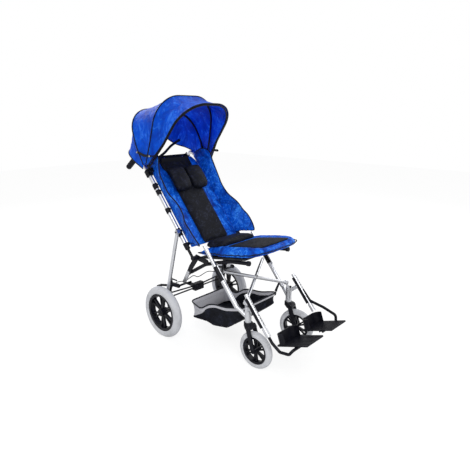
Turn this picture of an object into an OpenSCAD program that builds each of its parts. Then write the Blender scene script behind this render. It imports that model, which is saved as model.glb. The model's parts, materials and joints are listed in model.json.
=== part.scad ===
/* [Frame] */
// Distance from the part's origin back to the rear axle
axle_y = 272; // [240:1:300]
// Lowest point of the push tubes, forward of the rear axle
push_foot_f = 190; // [184:1:194]
// Height of the lowest point of the push tubes
push_foot_z = 502; // [496:1:508]
// Top corner of the push tubes, behind the rear axle
push_top_f = -254; // [-264:1:-244]
// Height of the top corner of the push tubes
push_top_z = 1036; // [1020:1:1050]
// Half the distance between the push tubes
push_x = 205; // [203:0.5:207]
// Diameter of the push tubes
push_d = 22; // [20:0.5:23]
// Wall of every hollow tube
tube_wall = 2; // [1.5:0.1:2.5]
// Length of the push tubes that is replaced by the two fork rods
fork_len = 66; // [60:1:72]
// Diameter of the fork rods
fork_rod_d = 8; // [6:0.5:8]
// Radius of the bend under the grips
grip_bend_r = 40; // [36:1:44]
// Length of the part of the handle behind its corner
grip_reach = 141; // [130:1:150]
// Slope of the grips below the level
grip_slope = 37.5; // [34:0.5:41]
// Length of the hand grips
grip_len = 92; // [84:1:96]
// Diameter of the hand grips
grip_d = 33; // [30:1:36]
// Distance of the front legs in front of the push tubes, square to both
leg_gap = 117; // [115:0.5:119]
// Half the distance between the front legs
leg_x = 195; // [194:0.5:196]
// Diameter of the front legs and rear legs
leg_d = 21; // [19:0.5:22]
// Where the front legs end at the top, along the push tubes
leg_top_s = 17; // [8:1:18]
// Where the front legs end at the bottom, along the push tubes
leg_low_s = -350; // [-354:1:-346]
// Diameter of the lower, thicker front leg tubes
leg_low_d = 25; // [24:0.5:26]
// Where the thicker lower tubes begin, along the push tubes
leg_low_top_s = -196; // [-200:1:-192]
// Where the black sleeves begin at the top, along the push tubes
sleeve_top_s = -112; // [-114:1:-110]
// Wall of the black sleeves and clamps
sleeve_wall = 3; // [2:0.5:4]
// Diameter of the thin lock rods beside the sleeves
lock_rod_d = 7; // [5:0.5:8]

/* [Rear frame] */
// Height of the rear axle, the radius of the rear tyres
rear_r = 152; // [150:1:154]
// Half the distance between the rear wheels
rear_x = 277; // [275:1:280]
// Radius of the rear tyre's section
rear_tyre_r = 25; // [24:0.5:26]
// Radius of the rear rims at their flanges
rear_rim_r = 112; // [110:1:113]
// Width of the rear rims
rear_rim_w = 37; // [35:1:39]
// Radius of the rear hubs
rear_hub_r = 21; // [19:1:24]
// Width of the rear hubs
rear_hub_w = 46; // [44:1:48]
// Diameter of the rear axles
rear_axle_d = 12; // [10:0.5:14]
// Pivot of the rear legs on the push tubes, forward of the rear axle
rear_top_f = 97; // [95:1:100]
// Height of the rear leg pivots
rear_top_z = 639; // [636:1:642]
// Lower end of the rear legs, behind the rear axle
rear_low_f = -14; // [-18:1:-10]
// Height of the lower end of the rear legs
rear_low_z = 216; // [210:1:224]
// Half the distance between the rear legs at the top
rear_top_x = 230; // [229.5:0.5:231]
// Half the distance between the rear legs at the bottom
rear_low_x = 237; // [236:0.5:238]
// Thickness of the black rear plates
rear_plate_t = 6; // [5:0.5:7]
// Lock pins that the side plates rest on, forward of the rear axle
lock_pin_f = 85; // [82:1:88]
// Height of the lock pins
lock_pin_z = 320; // [316:1:324]
// Diameter of the lock pins
lock_pin_d = 12; // [10:0.5:13]
// Height of the rear brace rods
brace_z = 232; // [228:1:236]
// Diameter of the rear brace rods
brace_d = 9; // [8:0.5:10]
// Gap between the two rods of one side of the brace
brace_gap = 26; // [24:1:30]
// Width of the centre latch
latch_w = 70; // [60:1:80]
// Height of the centre latch
latch_h = 44; // [40:1:48]
// Depth of the centre latch
latch_t = 30; // [26:1:32]
// Length of the fold pedal
pedal_len = 62; // [54:1:68]
// Length of the brake pedals
brake_len = 84; // [76:1:90]
// Height of the brake pivots
brake_z = 300; // [296:1:304]
// Diameter of the brake cable
cable_d = 5; // [4:0.5:6]
// Sag and sway of the brake cable
cable_sag = 40; // [36:1:44]

/* [Casters] */
// Radius of the front tyres
front_r = 100; // [98:1:101]
// Radius of the front tyre's section
front_tyre_r = 18.5; // [17.5:0.5:19]
// Radius of the front rims at their flanges
front_rim_r = 74; // [72:1:75]
// Width of the front rims
front_rim_w = 28; // [26:1:29]
// Radius of the front hubs
front_hub_r = 15; // [13:1:17]
// Diameter of the front axles
front_axle_d = 8; // [7:0.5:10]
// Half the distance between the caster stems
stem_x = 174; // [173:0.5:175]
// Caster stems, forward of the rear axle
stem_f = 562; // [558:1:566]
// Distance of the front axles in front of the stems
trail = 53; // [50:1:56]
// Turn of the left caster as photographed
caster_turn_left = 14; // [0:1:20]
// Turn of the right caster as photographed
caster_turn_right = 2; // [0:1:20]
// Height of the fork crowns
crown_z = 239; // [237:1:240]
// Height of the top of the caster heads
head_top_z = 326; // [322:1:330]
// Diameter of the caster heads
head_d = 34; // [32:1:36]
// Diameter of the caster stems
stem_d = 12; // [10:0.5:14]
// Thickness of the fork blades
fork_t = 8; // [7:0.5:8.5]
// Gap between the fork blades
fork_gap = 43; // [42:1:44]

/* [Cross bars] */
// Diameter of the cross bars
cross_d = 18; // [16:0.5:18]
// Upper end of the cross bars, along the push tubes
cross_top_s = -154; // [-156:1:-150]
// Half the distance between the upper ends of the cross bars
cross_x = 170; // [168:1:171]
// Lower end of the cross bars, forward of the rear axle
cross_low_f = 545; // [543:1:547]
// Height of the lower end of the cross bars
cross_low_z = 342; // [340:1:348]

/* [Seat] */
// Seat pivot on the front legs, along the push tubes
pivot_s = -96; // [-98:1:-94]
// Half the distance between the seat rails
rail_x = 163; // [162:0.5:164]
// Diameter of the seat rails
rail_d = 20; // [18:0.5:20]
// Front end of the seat rails, forward of the rear axle
rail_front_f = 545; // [530:1:560]
// Height of the front end of the seat rails
rail_front_z = 546; // [542:1:548]
// Half the distance between the side plates
plate_x = 176; // [175.5:0.5:176.5]
// Thickness of the side plates
plate_t = 6; // [4:0.5:6]
// Width of the side plates
plate_w = 28; // [26:1:30]
// Diameter of the pivot pins
pin_d = 8; // [7:0.5:9]
// Half the width of the seat cushion
seat_half_w = 203; // [196:1:206]
// Rear end of the seat, forward of the rear axle
seat_rear_f = 205; // [200:1:215]
// Front end of the seat, forward of the rear axle
seat_front_f = 640; // [625:1:650]
// Height of the seat's side edge at its rear
seat_rear_z = 532; // [530:1:536]
// Rise of the seat from rear to front
seat_rise = 80; // [74:1:84]
// Thickness of the seat cushion at its crown
seat_t = 40; // [36:1:44]
// Thickness of the seat board
board_t = 10; // [8:1:10]
// Half the width of the black centre pad
pad_half_w = 128; // [120:1:136]
// Height of the black block over the seat cushion
block_t = 34; // [28:1:38]
// Length of the black block from the seat's rear
block_len = 150; // [135:1:160]

/* [Back] */
// Length of the blue back along the push tubes
back_len = 640; // [620:1:650]
// Height of the back's foot along the push tubes
back_foot_s = 62; // [58:1:68]
// Thickness of the back panel
back_t = 14; // [12:1:16]
// Distance of the back panel in front of the tubes' middle
back_off = 6; // [4:1:8]
// Half the width of the black liner
liner_half_w = 92; // [86:1:98]
// Thickness of the black liner
liner_t = 24; // [20:1:28]
// Thickness of the side wings
wing_t = 8; // [6:1:8]
// Largest reach of the wings in front of the tubes' middle
wing_reach = 125; // [118:1:130]
// Width of one bolster pad
bolster_w = 128; // [120:1:132]
// Length of one bolster pad
bolster_len = 158; // [150:1:162]
// Thickness of one bolster pad
bolster_t = 48; // [42:1:52]
// Length of the black top band along the tubes
band_len = 76; // [66:1:84]
// Half the width of the black top band
band_half_w = 112; // [104:1:118]

/* [Hood] */
// Hood pivot below the top of the back, along the push tubes
hood_below = 80.574; // [76:0.5:84]
// Hood pivot in front of the push tubes
hood_o = 29.47; // [27:0.5:32]
// Half the distance between the hood pivots
hood_x = 222; // [221:1:224]
// Diameter of the hood bows
bow_d = 9; // [8:0.5:10]
// Angle of the rear bow above the front level
bow_rear_a = 115; // [113:1:118]
// Angle of the middle bow
bow_mid_a = 77; // [75:1:79]
// Angle of the front bow
bow_front_a = 51.5; // [50:0.5:53]
// Reach of the rear bow
bow_rear_r = 362; // [354:1:368]
// Reach of the middle bow
bow_mid_r = 408; // [402:1:414]
// Reach of the front bow
bow_front_r = 453; // [446:1:458]
// Half the width of the rear bow
bow_rear_w = 244; // [240:1:248]
// Half the width of the middle bow
bow_mid_w = 222; // [218:1:226]
// Half the width of the front bow
bow_front_w = 200; // [197:1:204]
// Thickness of the hood cloth
cloth_t = 2; // [1.5:0.1:2.5]
// Angle of the rear panel's hem
hem_a = 152; // [148:1:156]
// Reach of the rear panel's hem
hem_r = 236; // [230:1:242]
// Reach of the stay rivets from the hood pivot
stay_r = 112; // [108:1:114]
// Width of the hood stays
stay_w = 14; // [12:1:16]
// Thickness of the hood stays
stay_t = 3; // [2:0.5:3]

/* [Footrests] */
// Half the distance between the footrest tubes
foot_x = 199; // [198.5:0.5:200]
// Diameter of the footrest tubes
foot_d = 20; // [18:0.5:21]
// Upper end of the footrest tubes, forward of the rear axle
foot_top_f = 567; // [564:1:570]
// Height of the upper end of the footrest tubes
foot_top_z = 398; // [394:1:402]
// Lower end of the footrest tubes, forward of the rear axle
foot_low_f = 716; // [713:1:719]
// Height of the lower end of the footrest tubes
foot_low_z = 220; // [217:1:223]
// Diameter of the adjusting holes
hole_d = 6; // [5:0.5:7]
// Distance between the adjusting holes
hole_pitch = 15; // [14:0.5:17]
// Diameter of the bent footrest arms
arm_d = 15; // [13:0.5:16]
// Outer edge of the footplates
plate_out_x = 176; // [172:1:178]
// Inner edge of the footplates
plate_in_x = 38; // [34:1:44]
// Hinge of the footplates, forward of the rear axle
plate_hinge_f = 854; // [848:1:860]
// Height of the footplate hinges
plate_hinge_z = 196; // [192:1:200]
// Tilt of the footplates, front edge up
plate_tilt = 20; // [10:1:28]
// Length of the footplates in front of their hinge
plate_front_len = 76; // [70:1:80]
// Length of the footplates behind their hinge
plate_rear_len = 102; // [96:1:108]
// Thickness of the footplates
foot_plate_t = 8; // [8:0.5:10]
// Height of the heel loops over the plates
heel_h = 56; // [48:1:60]

/* [Basket] */
// Rear rim of the basket, forward of the rear axle
basket_rear_f = 95; // [92:1:102]
// Front rim of the basket, forward of the rear axle
basket_front_f = 500; // [490:1:505]
// Height of the rear rim
basket_rear_z = 206; // [200:1:210]
// Height of the front rim
basket_front_z = 284; // [278:1:290]
// Depth of the basket under its rim
basket_depth = 118; // [108:1:124]
// Half the width of the basket
basket_half_w = 150; // [140:1:152]
// Thickness of the basket's cloth
basket_t = 4; // [3:0.5:5]

/* [Fits] */
// Gap that keeps soft and sliding pieces off their neighbours
fit = 0.4; // [0.3:0.05:0.5]
// Gap between the lock pins and the links that rest on them
lock_gap = 0.2; // [0.1:0.05:0.3]
// Running clearance on the radius of pins and axles
run = 0.05; // [0.03:0.01:0.08]
// Overrun of cuts
over = 1; // [0.5:0.1:2]
// Bead on the diameter where a bend meets a straight run
bead = 0.1; // [0.05:0.01:0.3]

/* [Hidden] */
push_a = atan2(push_top_z - push_foot_z, push_foot_f - push_top_f);
push_len = norm([push_top_z - push_foot_z, push_foot_f - push_top_f]);
fine = 64;
front_hub_w = fork_gap - 2 * fit;

// Places

// A point by its side distance, its distance in front of the rear axle and its height
function place(x, f, z) = [x, axle_y - f, z];

// A point by its distance up the push tubes and its distance in front of them
function line(x, s, o) = place(
    x,
    push_foot_f - s * cos(push_a) + o * sin(push_a),
    push_foot_z + s * sin(push_a) + o * cos(push_a)
);

function unit(v) = v / norm(v);
function mix(a, b, t) = a + (b - a) * t;

// Shapes

module both_sides() {
    children();
    mirror([1, 0, 0]) children();
}

module on_side(side) {
    if (side > 0) children();
    else mirror([1, 0, 0]) children();
}

module rod(a, b, d) {
    v = b - a;
    translate(a)
        rotate([0, acos(v.z / norm(v)), atan2(v.y, v.x)])
            cylinder(d = d, h = norm(v), $fn = fine);
}

module pipe(a, b, d, wall) {
    n = unit(b - a) * over;
    difference() {
        rod(a, b, d);
        rod(a - n, b + n, d - 2 * wall);
    }
}

// A solid bar bent round the corners of a path
function corner_half(p, i) = acos(unit(p[i - 1] - p[i]) * unit(p[i + 1] - p[i])) / 2;
function corner_cut(p, r, i) = i == 0 || i == len(p) - 1 ? 0 : r / tan(corner_half(p, i));

module bend(centre, from, to, r, d) {
    x = unit(from - centre);
    n = unit(cross(x, to - centre));
    y = cross(n, x);
    turn = acos(x * unit(to - centre));
    multmatrix([
        [x.x, y.x, n.x, centre.x],
        [x.y, y.y, n.y, centre.y],
        [x.z, y.z, n.z, centre.z],
        [0, 0, 0, 1]
    ])
        rotate_extrude(angle = turn, $fn = fine) translate([r, 0]) circle(d = d, $fn = fine);
}

module bent_rod(p, r, d) {
    for (i = [0 : len(p) - 2]) {
        w = unit(p[i + 1] - p[i]);
        rod(p[i] + w * corner_cut(p, r, i), p[i + 1] - w * corner_cut(p, r, i + 1), d);
    }
    for (i = [1 : len(p) - 2]) {
        u = unit(p[i - 1] - p[i]);
        w = unit(p[i + 1] - p[i]);
        t = corner_cut(p, r, i);
        bend(p[i] + unit(u + w) * r / sin(corner_half(p, i)), p[i] + u * t, p[i] + w * t, r, d);
        for (v = [u, w])
            rod(p[i] + v * (t - over / 2), p[i] + v * (t + over / 2), d + bead);
    }
}

// Points along the same kind of path, so that cloth follows its bow
function arc_points(p, r, i, n) =
    let (
        u = unit(p[i - 1] - p[i]),
        w = unit(p[i + 1] - p[i]),
        half = corner_half(p, i),
        c = p[i] + unit(u + w) * r / sin(half),
        x = unit(p[i] + u * r / tan(half) - c),
        y = unit(cross(cross(x, p[i] + w * r / tan(half) - c), x))
    )
    [for (k = [0 : n]) let (a = (180 - 2 * half) * k / n) c + r * (x * cos(a) + y * sin(a))];

function path_points(p, r, n) = [
    p[0],
    for (i = [1 : len(p) - 2]) each arc_points(p, r, i, n),
    p[len(p) - 1]
];

// A closed solid between two sheets of points with the same rows and columns
module slab(top, low) {
    m = len(top);
    n = len(top[0]);
    pts = concat([for (row = top) each row], [for (row = low) each row]);
    q = m * n;
    function quad(a, b, c, d) = [[a, b, c], [a, c, d]];
    faces = concat(
        [for (i = [0 : m - 2], j = [0 : n - 2])
            each quad(i * n + j, i * n + j + 1, (i + 1) * n + j + 1, (i + 1) * n + j)],
        [for (i = [0 : m - 2], j = [0 : n - 2])
            each quad(q + i * n + j, q + (i + 1) * n + j, q + (i + 1) * n + j + 1, q + i * n + j + 1)],
        [for (j = [0 : n - 2]) each quad(j, q + j, q + j + 1, j + 1)],
        [for (j = [0 : n - 2])
            each quad((m - 1) * n + j, (m - 1) * n + j + 1, q + (m - 1) * n + j + 1, q + (m - 1) * n + j)],
        [for (i = [0 : m - 2]) each quad(i * n, (i + 1) * n, q + (i + 1) * n, q + i * n)],
        [for (i = [0 : m - 2])
            each quad(i * n + n - 1, q + i * n + n - 1, q + (i + 1) * n + n - 1, (i + 1) * n + n - 1)]
    );
    polyhedron(points = pts, faces = faces);
}

// Swell of a pad over its width and length, one at its middle and none at its edge
function swell(u, v) = pow(max(0, 1 - pow(abs(u), 4)) * max(0, 1 - pow(abs(v), 4)), 0.5);

// A flat bar with round ends between two points, its faces square to X
module flat_bar(a, b, w, t) {
    v = b - a;
    translate(a)
        rotate([atan2(v.z, v.y), 0, 0])
            rotate([0, 90, 0])
                linear_extrude(height = t, center = true) {
                    translate([-w / 2, 0]) square([w, norm(v)]);
                    circle(d = w, $fn = fine);
                    translate([0, norm(v)]) circle(d = w, $fn = fine);
                }
}

// Outline of a bar of even width along a path in its own plane, with round ends
function side_of(a, b) = let (v = unit(b - a)) [-v.y, v.x];
function miter(p, i) =
    let (
        n0 = side_of(p[max(0, i - 1)], p[max(1, i)]),
        n1 = side_of(p[min(i, len(p) - 2)], p[min(i + 1, len(p) - 1)]),
        m = unit(n0 + n1)
    ) m / (m * n0);
function round_end(c, n, r) = [for (k = [1 : 11]) let (a = 180 * k / 12)
    c + r * (n * cos(a) + [n.y, -n.x] * sin(a))];
module strip(p, w) {
    last = len(p) - 1;
    polygon(concat(
        [for (i = [0 : last]) p[i] + miter(p, i) * w / 2],
        round_end(p[last], side_of(p[last - 1], p[last]), w / 2),
        [for (i = [last : -1 : 0]) p[i] - miter(p, i) * w / 2],
        round_end(p[0], -side_of(p[0], p[1]), w / 2)
    ));
}

// A flat strip of sheet along points of a side view, its faces square to X
module side_strip(points, w, t) {
    translate([points[0].x - t / 2, 0, 0])
        rotate([90, 0, 90])
            linear_extrude(height = t) strip([for (q = points) [q.y, q.z]], w);
}

// Front frame

function leg_point(s) = line(leg_x, s, leg_gap);

module front_leg_tubes() {
    color("silver") both_sides() {
        pipe(leg_point(leg_low_top_s), leg_point(leg_top_s), leg_d, tube_wall);
        pipe(leg_point(leg_low_s), leg_point(leg_low_top_s), leg_low_d, tube_wall);
    }
}

module front_leg_sleeves() {
    sleeve_d = leg_d + 2 * sleeve_wall;
    cap_t = sleeve_wall;
    color("black") both_sides() {
        difference() {
            rod(leg_point(leg_low_top_s), leg_point(sleeve_top_s), sleeve_d);
            rod(leg_point(leg_low_top_s - over), leg_point(sleeve_top_s + over), leg_d);
        }
        rod(leg_point(leg_top_s), leg_point(leg_top_s - cap_t), leg_d - 2 * tube_wall);
    }
}

module lock_rods() {
    lock_o = leg_gap + leg_d / 2 + sleeve_wall + lock_rod_d / 2;
    lock_low_s = leg_low_top_s - leg_low_d / 2;
    color("silver") both_sides()
        rod(line(leg_x, lock_low_s, lock_o), line(leg_x, sleeve_top_s, lock_o), lock_rod_d);
}

cross_step = (cross_d + fit) / 2;
cross_run = place(0, cross_low_f, cross_low_z) - line(0, cross_top_s, leg_gap);
cross_normal = unit(cross([1, 0, 0], cross_run));
function cross_end_top(side, step) = line(side * cross_x, cross_top_s, leg_gap) - cross_normal * step;
function cross_end_low(side, step) = place(side * cross_x, cross_low_f, cross_low_z) - cross_normal * step;

module cross_bars() {
    mid = (cross_end_top(1, 0) + cross_end_low(-1, 0)) / 2;
    reach = cross_normal * 2 * cross_d;
    color("silver")
        difference() {
            union() {
                pipe(cross_end_top(-1, cross_step), cross_end_low(1, cross_step), cross_d, tube_wall);
                pipe(cross_end_top(1, -cross_step), cross_end_low(-1, -cross_step), cross_d, tube_wall);
            }
            rod(mid - reach, mid + reach, pin_d + 2 * run);
        }
}

module cross_bolt() {
    mid = (cross_end_top(1, 0) + cross_end_low(-1, 0)) / 2;
    n = cross_normal;
    seat = cross_step + cross_d / 2;
    color("dimgray") {
        rod(mid - n * (seat + pin_d / 3), mid + n * (seat + pin_d / 3), pin_d);
        for (k = [-1, 1])
            rod(mid + n * k * seat, mid + n * k * (seat + pin_d / 2), cross_d * 0.7);
    }
}

module caster_head(side) {
    head_low_z = crown_z + lock_gap;
    socket = 14;
    wall = 3;
    end = cross_end_low(1, side * cross_step);
    up = unit(cross_end_top(-1, side * cross_step) - end);
    lug_t = 72;
    on_side(side)
        difference() {
            union() {
                translate(place(stem_x, stem_f, head_low_z))
                    cylinder(d = head_d, h = head_top_z - head_low_z, $fn = fine);
                rod(
                    leg_point(leg_low_s + wall),
                    place(stem_x, stem_f, head_low_z + head_d * 0.6),
                    leg_low_d * 0.8
                );
                rod(place(stem_x + wall, stem_f, head_top_z - leg_low_d), foot_point(lug_t, 0), leg_low_d * 0.9);
                rod(place(stem_x - wall, stem_f, head_top_z - leg_low_d * 0.5), end + up * wall, cross_d * 0.7);
                rod(end - up * wall, end + up * socket, cross_d + 2 * wall);
            }
            translate(place(stem_x, stem_f, head_low_z - over))
                cylinder(d = stem_d + 2 * run, h = head_d + over, $fn = fine);
            rod(leg_point(leg_low_s), leg_point(leg_low_top_s), leg_low_d);
            rod(end, end + up * 4 * socket, cross_d);
            channel_body(over);
        }
}

module caster_heads() {
    color("silver")
        for (side = [-1, 1])
            caster_head(side);
}

module caster_caps() {
    cap_h = 6;
    color("black") both_sides()
        translate(place(stem_x + head_d * 0.12, stem_f + head_d * 0.2, head_top_z))
            cylinder(d = head_d / 3, h = cap_h, $fn = fine);
}

// Footrest frame, seen along its tube
foot_top = place(foot_x, foot_top_f, foot_top_z);
foot_low = place(foot_x, foot_low_f, foot_low_z);
foot_dir = unit(foot_low - foot_top);
foot_side = unit(cross([1, 0, 0], foot_dir));
function foot_point(t, o) = foot_top + foot_dir * t - foot_side * o;
channel_top_t = 20;
channel_len = 160;
channel_wall = 4;

// Everything that the footrest tube slides through
module footrest_core() {
    reach = norm(foot_low - foot_top);
    rod(foot_point(-reach, 0), foot_point(2 * reach, 0), foot_d + 2 * fit);
}

// Outside of the channels, to be cut from what they are fixed to
module channel_body(extra) {
    rod(
        foot_point(channel_top_t - extra, -channel_wall),
        foot_point(channel_top_t + channel_len + extra, -channel_wall),
        foot_d + 2 * fit + 2 * channel_wall
    );
}

module footrest_channels() {
    w = foot_d + 2 * fit + 2 * channel_wall;
    color("black") both_sides()
        difference() {
            channel_body(0);
            footrest_core();
            rod(
                foot_point(channel_top_t - over, w),
                foot_point(channel_top_t + channel_len + over, w),
                2 * w - foot_d / 3
            );
        }
}

// Basket under the seat, open at the top
function rim(f) = mix(basket_rear_z, basket_front_z, (f - basket_rear_f) / (basket_front_f - basket_rear_f));

// Outline of the basket from the side, inset by the cloth
function basket_outline(inset) =
    let (
        rear = basket_rear_f + inset,
        front = basket_front_f - inset,
        span = front - rear,
        low = basket_depth - inset
    )
    [
        [rear, rim(rear) - low * 0.86],
        [rear + span * 0.32, rim(rear + span * 0.32) - low * 0.96],
        [rear + span * 0.46, rim(rear + span * 0.46) - low * 1.12],
        [rear + span * 0.716, rim(rear + span * 0.716) - low * 1.12],
        [front, rim(front) - low * 0.53],
        [front, rim(front) + (inset > 0 ? basket_depth : 0)],
        [rear, rim(rear) + (inset > 0 ? basket_depth : 0)]
    ];

module side_profile(points, half_w) {
    rotate([90, 0, 90])
        linear_extrude(height = 2 * half_w, center = true)
            polygon([for (p = points) [axle_y - p.x, p.y]]);
}

// Strap loop that hangs the basket's front corner on the lower leg tube
module basket_loop() {
    loop_s = leg_low_s + leg_low_d / 2;
    loop_len = 24;
    inner = leg_low_d + 2 * run;
    difference() {
        union() {
            rod(leg_point(loop_s), leg_point(loop_s + loop_len), inner + basket_t);
            hull() {
                translate(place(
                    basket_half_w - basket_t,
                    basket_front_f - basket_t / 2,
                    basket_front_z - 2 * loop_len / 3
                ))
                    cube([basket_t * 0.75, loop_len, loop_len / 2]);
                translate(leg_point(loop_s + loop_len / 2) - [leg_low_d / 2 + basket_t / 2, loop_len / 2, loop_len / 4])
                    cube([basket_t / 2, loop_len, loop_len / 2]);
            }
        }
        rod(leg_point(loop_s - loop_len), leg_point(loop_s + 2 * loop_len), inner);
    }
}

module basket() {
    color("dimgray") {
        difference() {
            side_profile(basket_outline(0), basket_half_w);
            side_profile(basket_outline(basket_t), basket_half_w - basket_t);
        }
        both_sides() basket_loop();
    }
}

// Seat frame

pivot_f = push_foot_f - pivot_s * cos(push_a) + leg_gap * sin(push_a);
pivot_z = push_foot_z + pivot_s * sin(push_a) + leg_gap * cos(push_a);

// Route of the seat rail, from the side plate forward
rail_route = [
    place(rail_x, mix(lock_pin_f, pivot_f, 0.16), mix(lock_pin_z, pivot_z, 0.42)),
    place(rail_x, mix(lock_pin_f, pivot_f, 0.62), mix(lock_pin_z, pivot_z, 0.82)),
    place(rail_x, pivot_f, pivot_z),
    place(rail_x, mix(pivot_f, rail_front_f, 0.45), mix(pivot_z, rail_front_z, 0.62)),
    place(rail_x, rail_front_f, rail_front_z)
];
rail_bend_r = 90;

module seat_rails() {
    cap_t = 14;
    last = rail_route[4];
    dir = unit(last - rail_route[3]);
    color("black") both_sides() {
        difference() {
            bent_rod(rail_route, rail_bend_r, rail_d);
            rod(
                place(rail_x - rail_d, pivot_f, pivot_z),
                place(rail_x + rail_d, pivot_f, pivot_z),
                pin_d + 2 * run
            );
        }
        rod(last, last + dir * cap_t, rail_d + 2 * sleeve_wall);
    }
}

// Route of the side plate: forward arm beside the rail, push tube pivot, lower arm
plate_tip = place(plate_x, mix(push_foot_f, pivot_f, 0.5), push_foot_z - plate_w * 0.35);
plate_pivot = place(plate_x, push_foot_f, push_foot_z);
plate_mid = place(plate_x, mix(lock_pin_f, push_foot_f, 0.52), mix(lock_pin_z, push_foot_z, 0.62));
plate_low = place(plate_x, mix(lock_pin_f, push_foot_f, 0.34), mix(lock_pin_z, push_foot_z, 0.42));

module side_plates() {
    color("black") both_sides()
        difference() {
            side_strip([plate_tip, plate_pivot, plate_mid, plate_low], plate_w, plate_t);
            rod(plate_pivot - [plate_w, 0, 0], plate_pivot + [plate_w, 0, 0], pin_d + 2 * run);
        }
}

module link_plates() {
    foot_z = lock_pin_z + lock_pin_d / 2 + lock_gap;
    low = place(plate_x, lock_pin_f, foot_z + plate_w * 0.2);
    link_x = [plate_t, 0, 0];
    color("silver") both_sides() {
        difference() {
            side_strip([plate_low + link_x, low + link_x], plate_w * 0.8, plate_t);
            translate(place(plate_x - plate_w, lock_pin_f + plate_w, foot_z - plate_w))
                cube([2 * plate_w, 2 * plate_w, plate_w]);
        }
        rod(plate_low + link_x, plate_low + link_x * 1.9, plate_w * 0.5);
    }
}

module seat_pivots() {
    head_t = 3;
    in_x = rail_x - rail_d / 2;
    color("silver") both_sides()
        difference() {
            union() {
                rod(
                    place(in_x - fit - head_t, pivot_f, pivot_z),
                    place(in_x - fit, pivot_f, pivot_z),
                    pin_d * 1.6
                );
                rod(place(in_x - fit - head_t / 2, pivot_f, pivot_z), place(leg_x, pivot_f, pivot_z), pin_d);
                rod(
                    place(rail_x + rail_d / 2 + fit, pivot_f, pivot_z),
                    place(leg_x, pivot_f, pivot_z),
                    pin_d * 2.2
                );
            }
            rod(leg_point(leg_low_top_s), leg_point(leg_top_s), leg_d);
        }
}

// Height of the seat's side edge at a distance in front of the rear axle
function seat_edge_z(f) = seat_rear_z + seat_rise * (f - seat_rear_f) / (seat_front_f - seat_rear_f);

// Half width of the seat along its length: between the legs at its rear, round corners in front
function seat_w(v) =
    let (between = leg_x - leg_d / 2 - 2 * fit, t = max(0, min(1, (v + 0.42) / 0.25)))
    v > 0.45 ? seat_half_w * sqrt(max(0, 1 - pow((v - 0.45) / 0.58, 3.2)))
        : mix(between, seat_half_w, t * t * (3 - 2 * t));

// Depth of the cushion under its edge, and of the board's top below that
seat_low = seat_t * 0.55;
board_top = seat_low + cloth_t / 2 + fit;

module seat_board() {
    f0 = seat_rear_f + board_t;
    f1 = seat_front_f - seat_half_w / 2;
    color("dimgray")
        side_profile([
            [f0, seat_edge_z(f0) - board_top],
            [f1, seat_edge_z(f1) - board_top],
            [f1, seat_edge_z(f1) - board_top - board_t],
            [f0, seat_edge_z(f0) - board_top - board_t]
        ], rail_x + rail_d / 2);
}

module seat_cushion() {
    rows = 18;
    cols = 14;
    function grid(top) = [for (i = [0 : rows])
        let (v = -1 + 2 * i / rows, s = (v + 1) / 2, f = mix(seat_rear_f, seat_front_f, s), w = seat_w(v))
        [for (j = [0 : cols])
            let (u = -1 + 2 * j / cols, c = swell(u, v), e = seat_edge_z(f))
            place(u * w, f, top ? e + (seat_t - seat_low) * c + cloth_t / 2
                : e - seat_low * pow(c, 0.5) - cloth_t / 2)]];
    color("royalblue") slab(grid(true), grid(false));
}

// A pad that lies on the seat between two distances in front of the rear axle
module seat_layer(f0, f1, half_w, t) {
    rows = 12;
    cols = 10;
    base = seat_t - seat_low + cloth_t / 2 + fit / 2;
    function grid(top) = [for (i = [0 : rows])
        let (v = -1 + 2 * i / rows, f = mix(f0, f1, (v + 1) / 2))
        [for (j = [0 : cols])
            let (u = -1 + 2 * j / cols, c = swell(u, v))
            place(u * half_w, f, seat_edge_z(f) + base + (top ? t * 0.35 + t * 0.65 * c : 0))]];
    slab(grid(true), grid(false));
}

module seat_pad() {
    pad_t = 9;
    color("black")
        seat_layer(seat_rear_f + block_len + fit, seat_front_f - seat_half_w * 0.2, pad_half_w, pad_t);
}

module seat_block() {
    color("black") seat_layer(seat_rear_f, seat_rear_f + block_len, pad_half_w * 1.12, block_t);
}

// Back frame

grip_dir = unit(place(0, push_top_f - cos(grip_slope), push_top_z - sin(grip_slope)) - place(0, push_top_f, push_top_z));
push_corner = place(push_x, push_top_f, push_top_z);
grip_end = push_corner + grip_dir * grip_reach;
tube_end = grip_end - grip_dir * grip_d / 2;

// Turns the shape round Z so that it runs from a to b
module along(a, b) {
    v = b - a;
    translate(a) rotate([0, acos(v.z / norm(v)), atan2(v.y, v.x)]) children();
}

module push_path(d, extra) {
    low = line(push_x, fork_len - extra, 0);
    bent_rod([low, push_corner, tube_end + grip_dir * extra], grip_bend_r, d);
}

module push_tubes() {
    color("silver") both_sides()
        difference() {
            push_path(push_d, 0);
            push_path(push_d - 2 * tube_wall, over);
        }
}

module handle_grips() {
    r = grip_d / 2;
    color("black") both_sides()
        along(grip_end - grip_dir * grip_len, grip_end)
            rotate_extrude($fn = fine)
                polygon(concat(
                    [[push_d / 2, 0], [r, 0]],
                    [for (k = [0 : 6]) [r * (0.6 + 0.4 * cos(15 * k)), grip_len - r * 0.4 * (1 - sin(15 * k))]],
                    [[0, grip_len], [0, grip_len - r], [push_d / 2, grip_len - r]]
                ));
}

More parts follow.
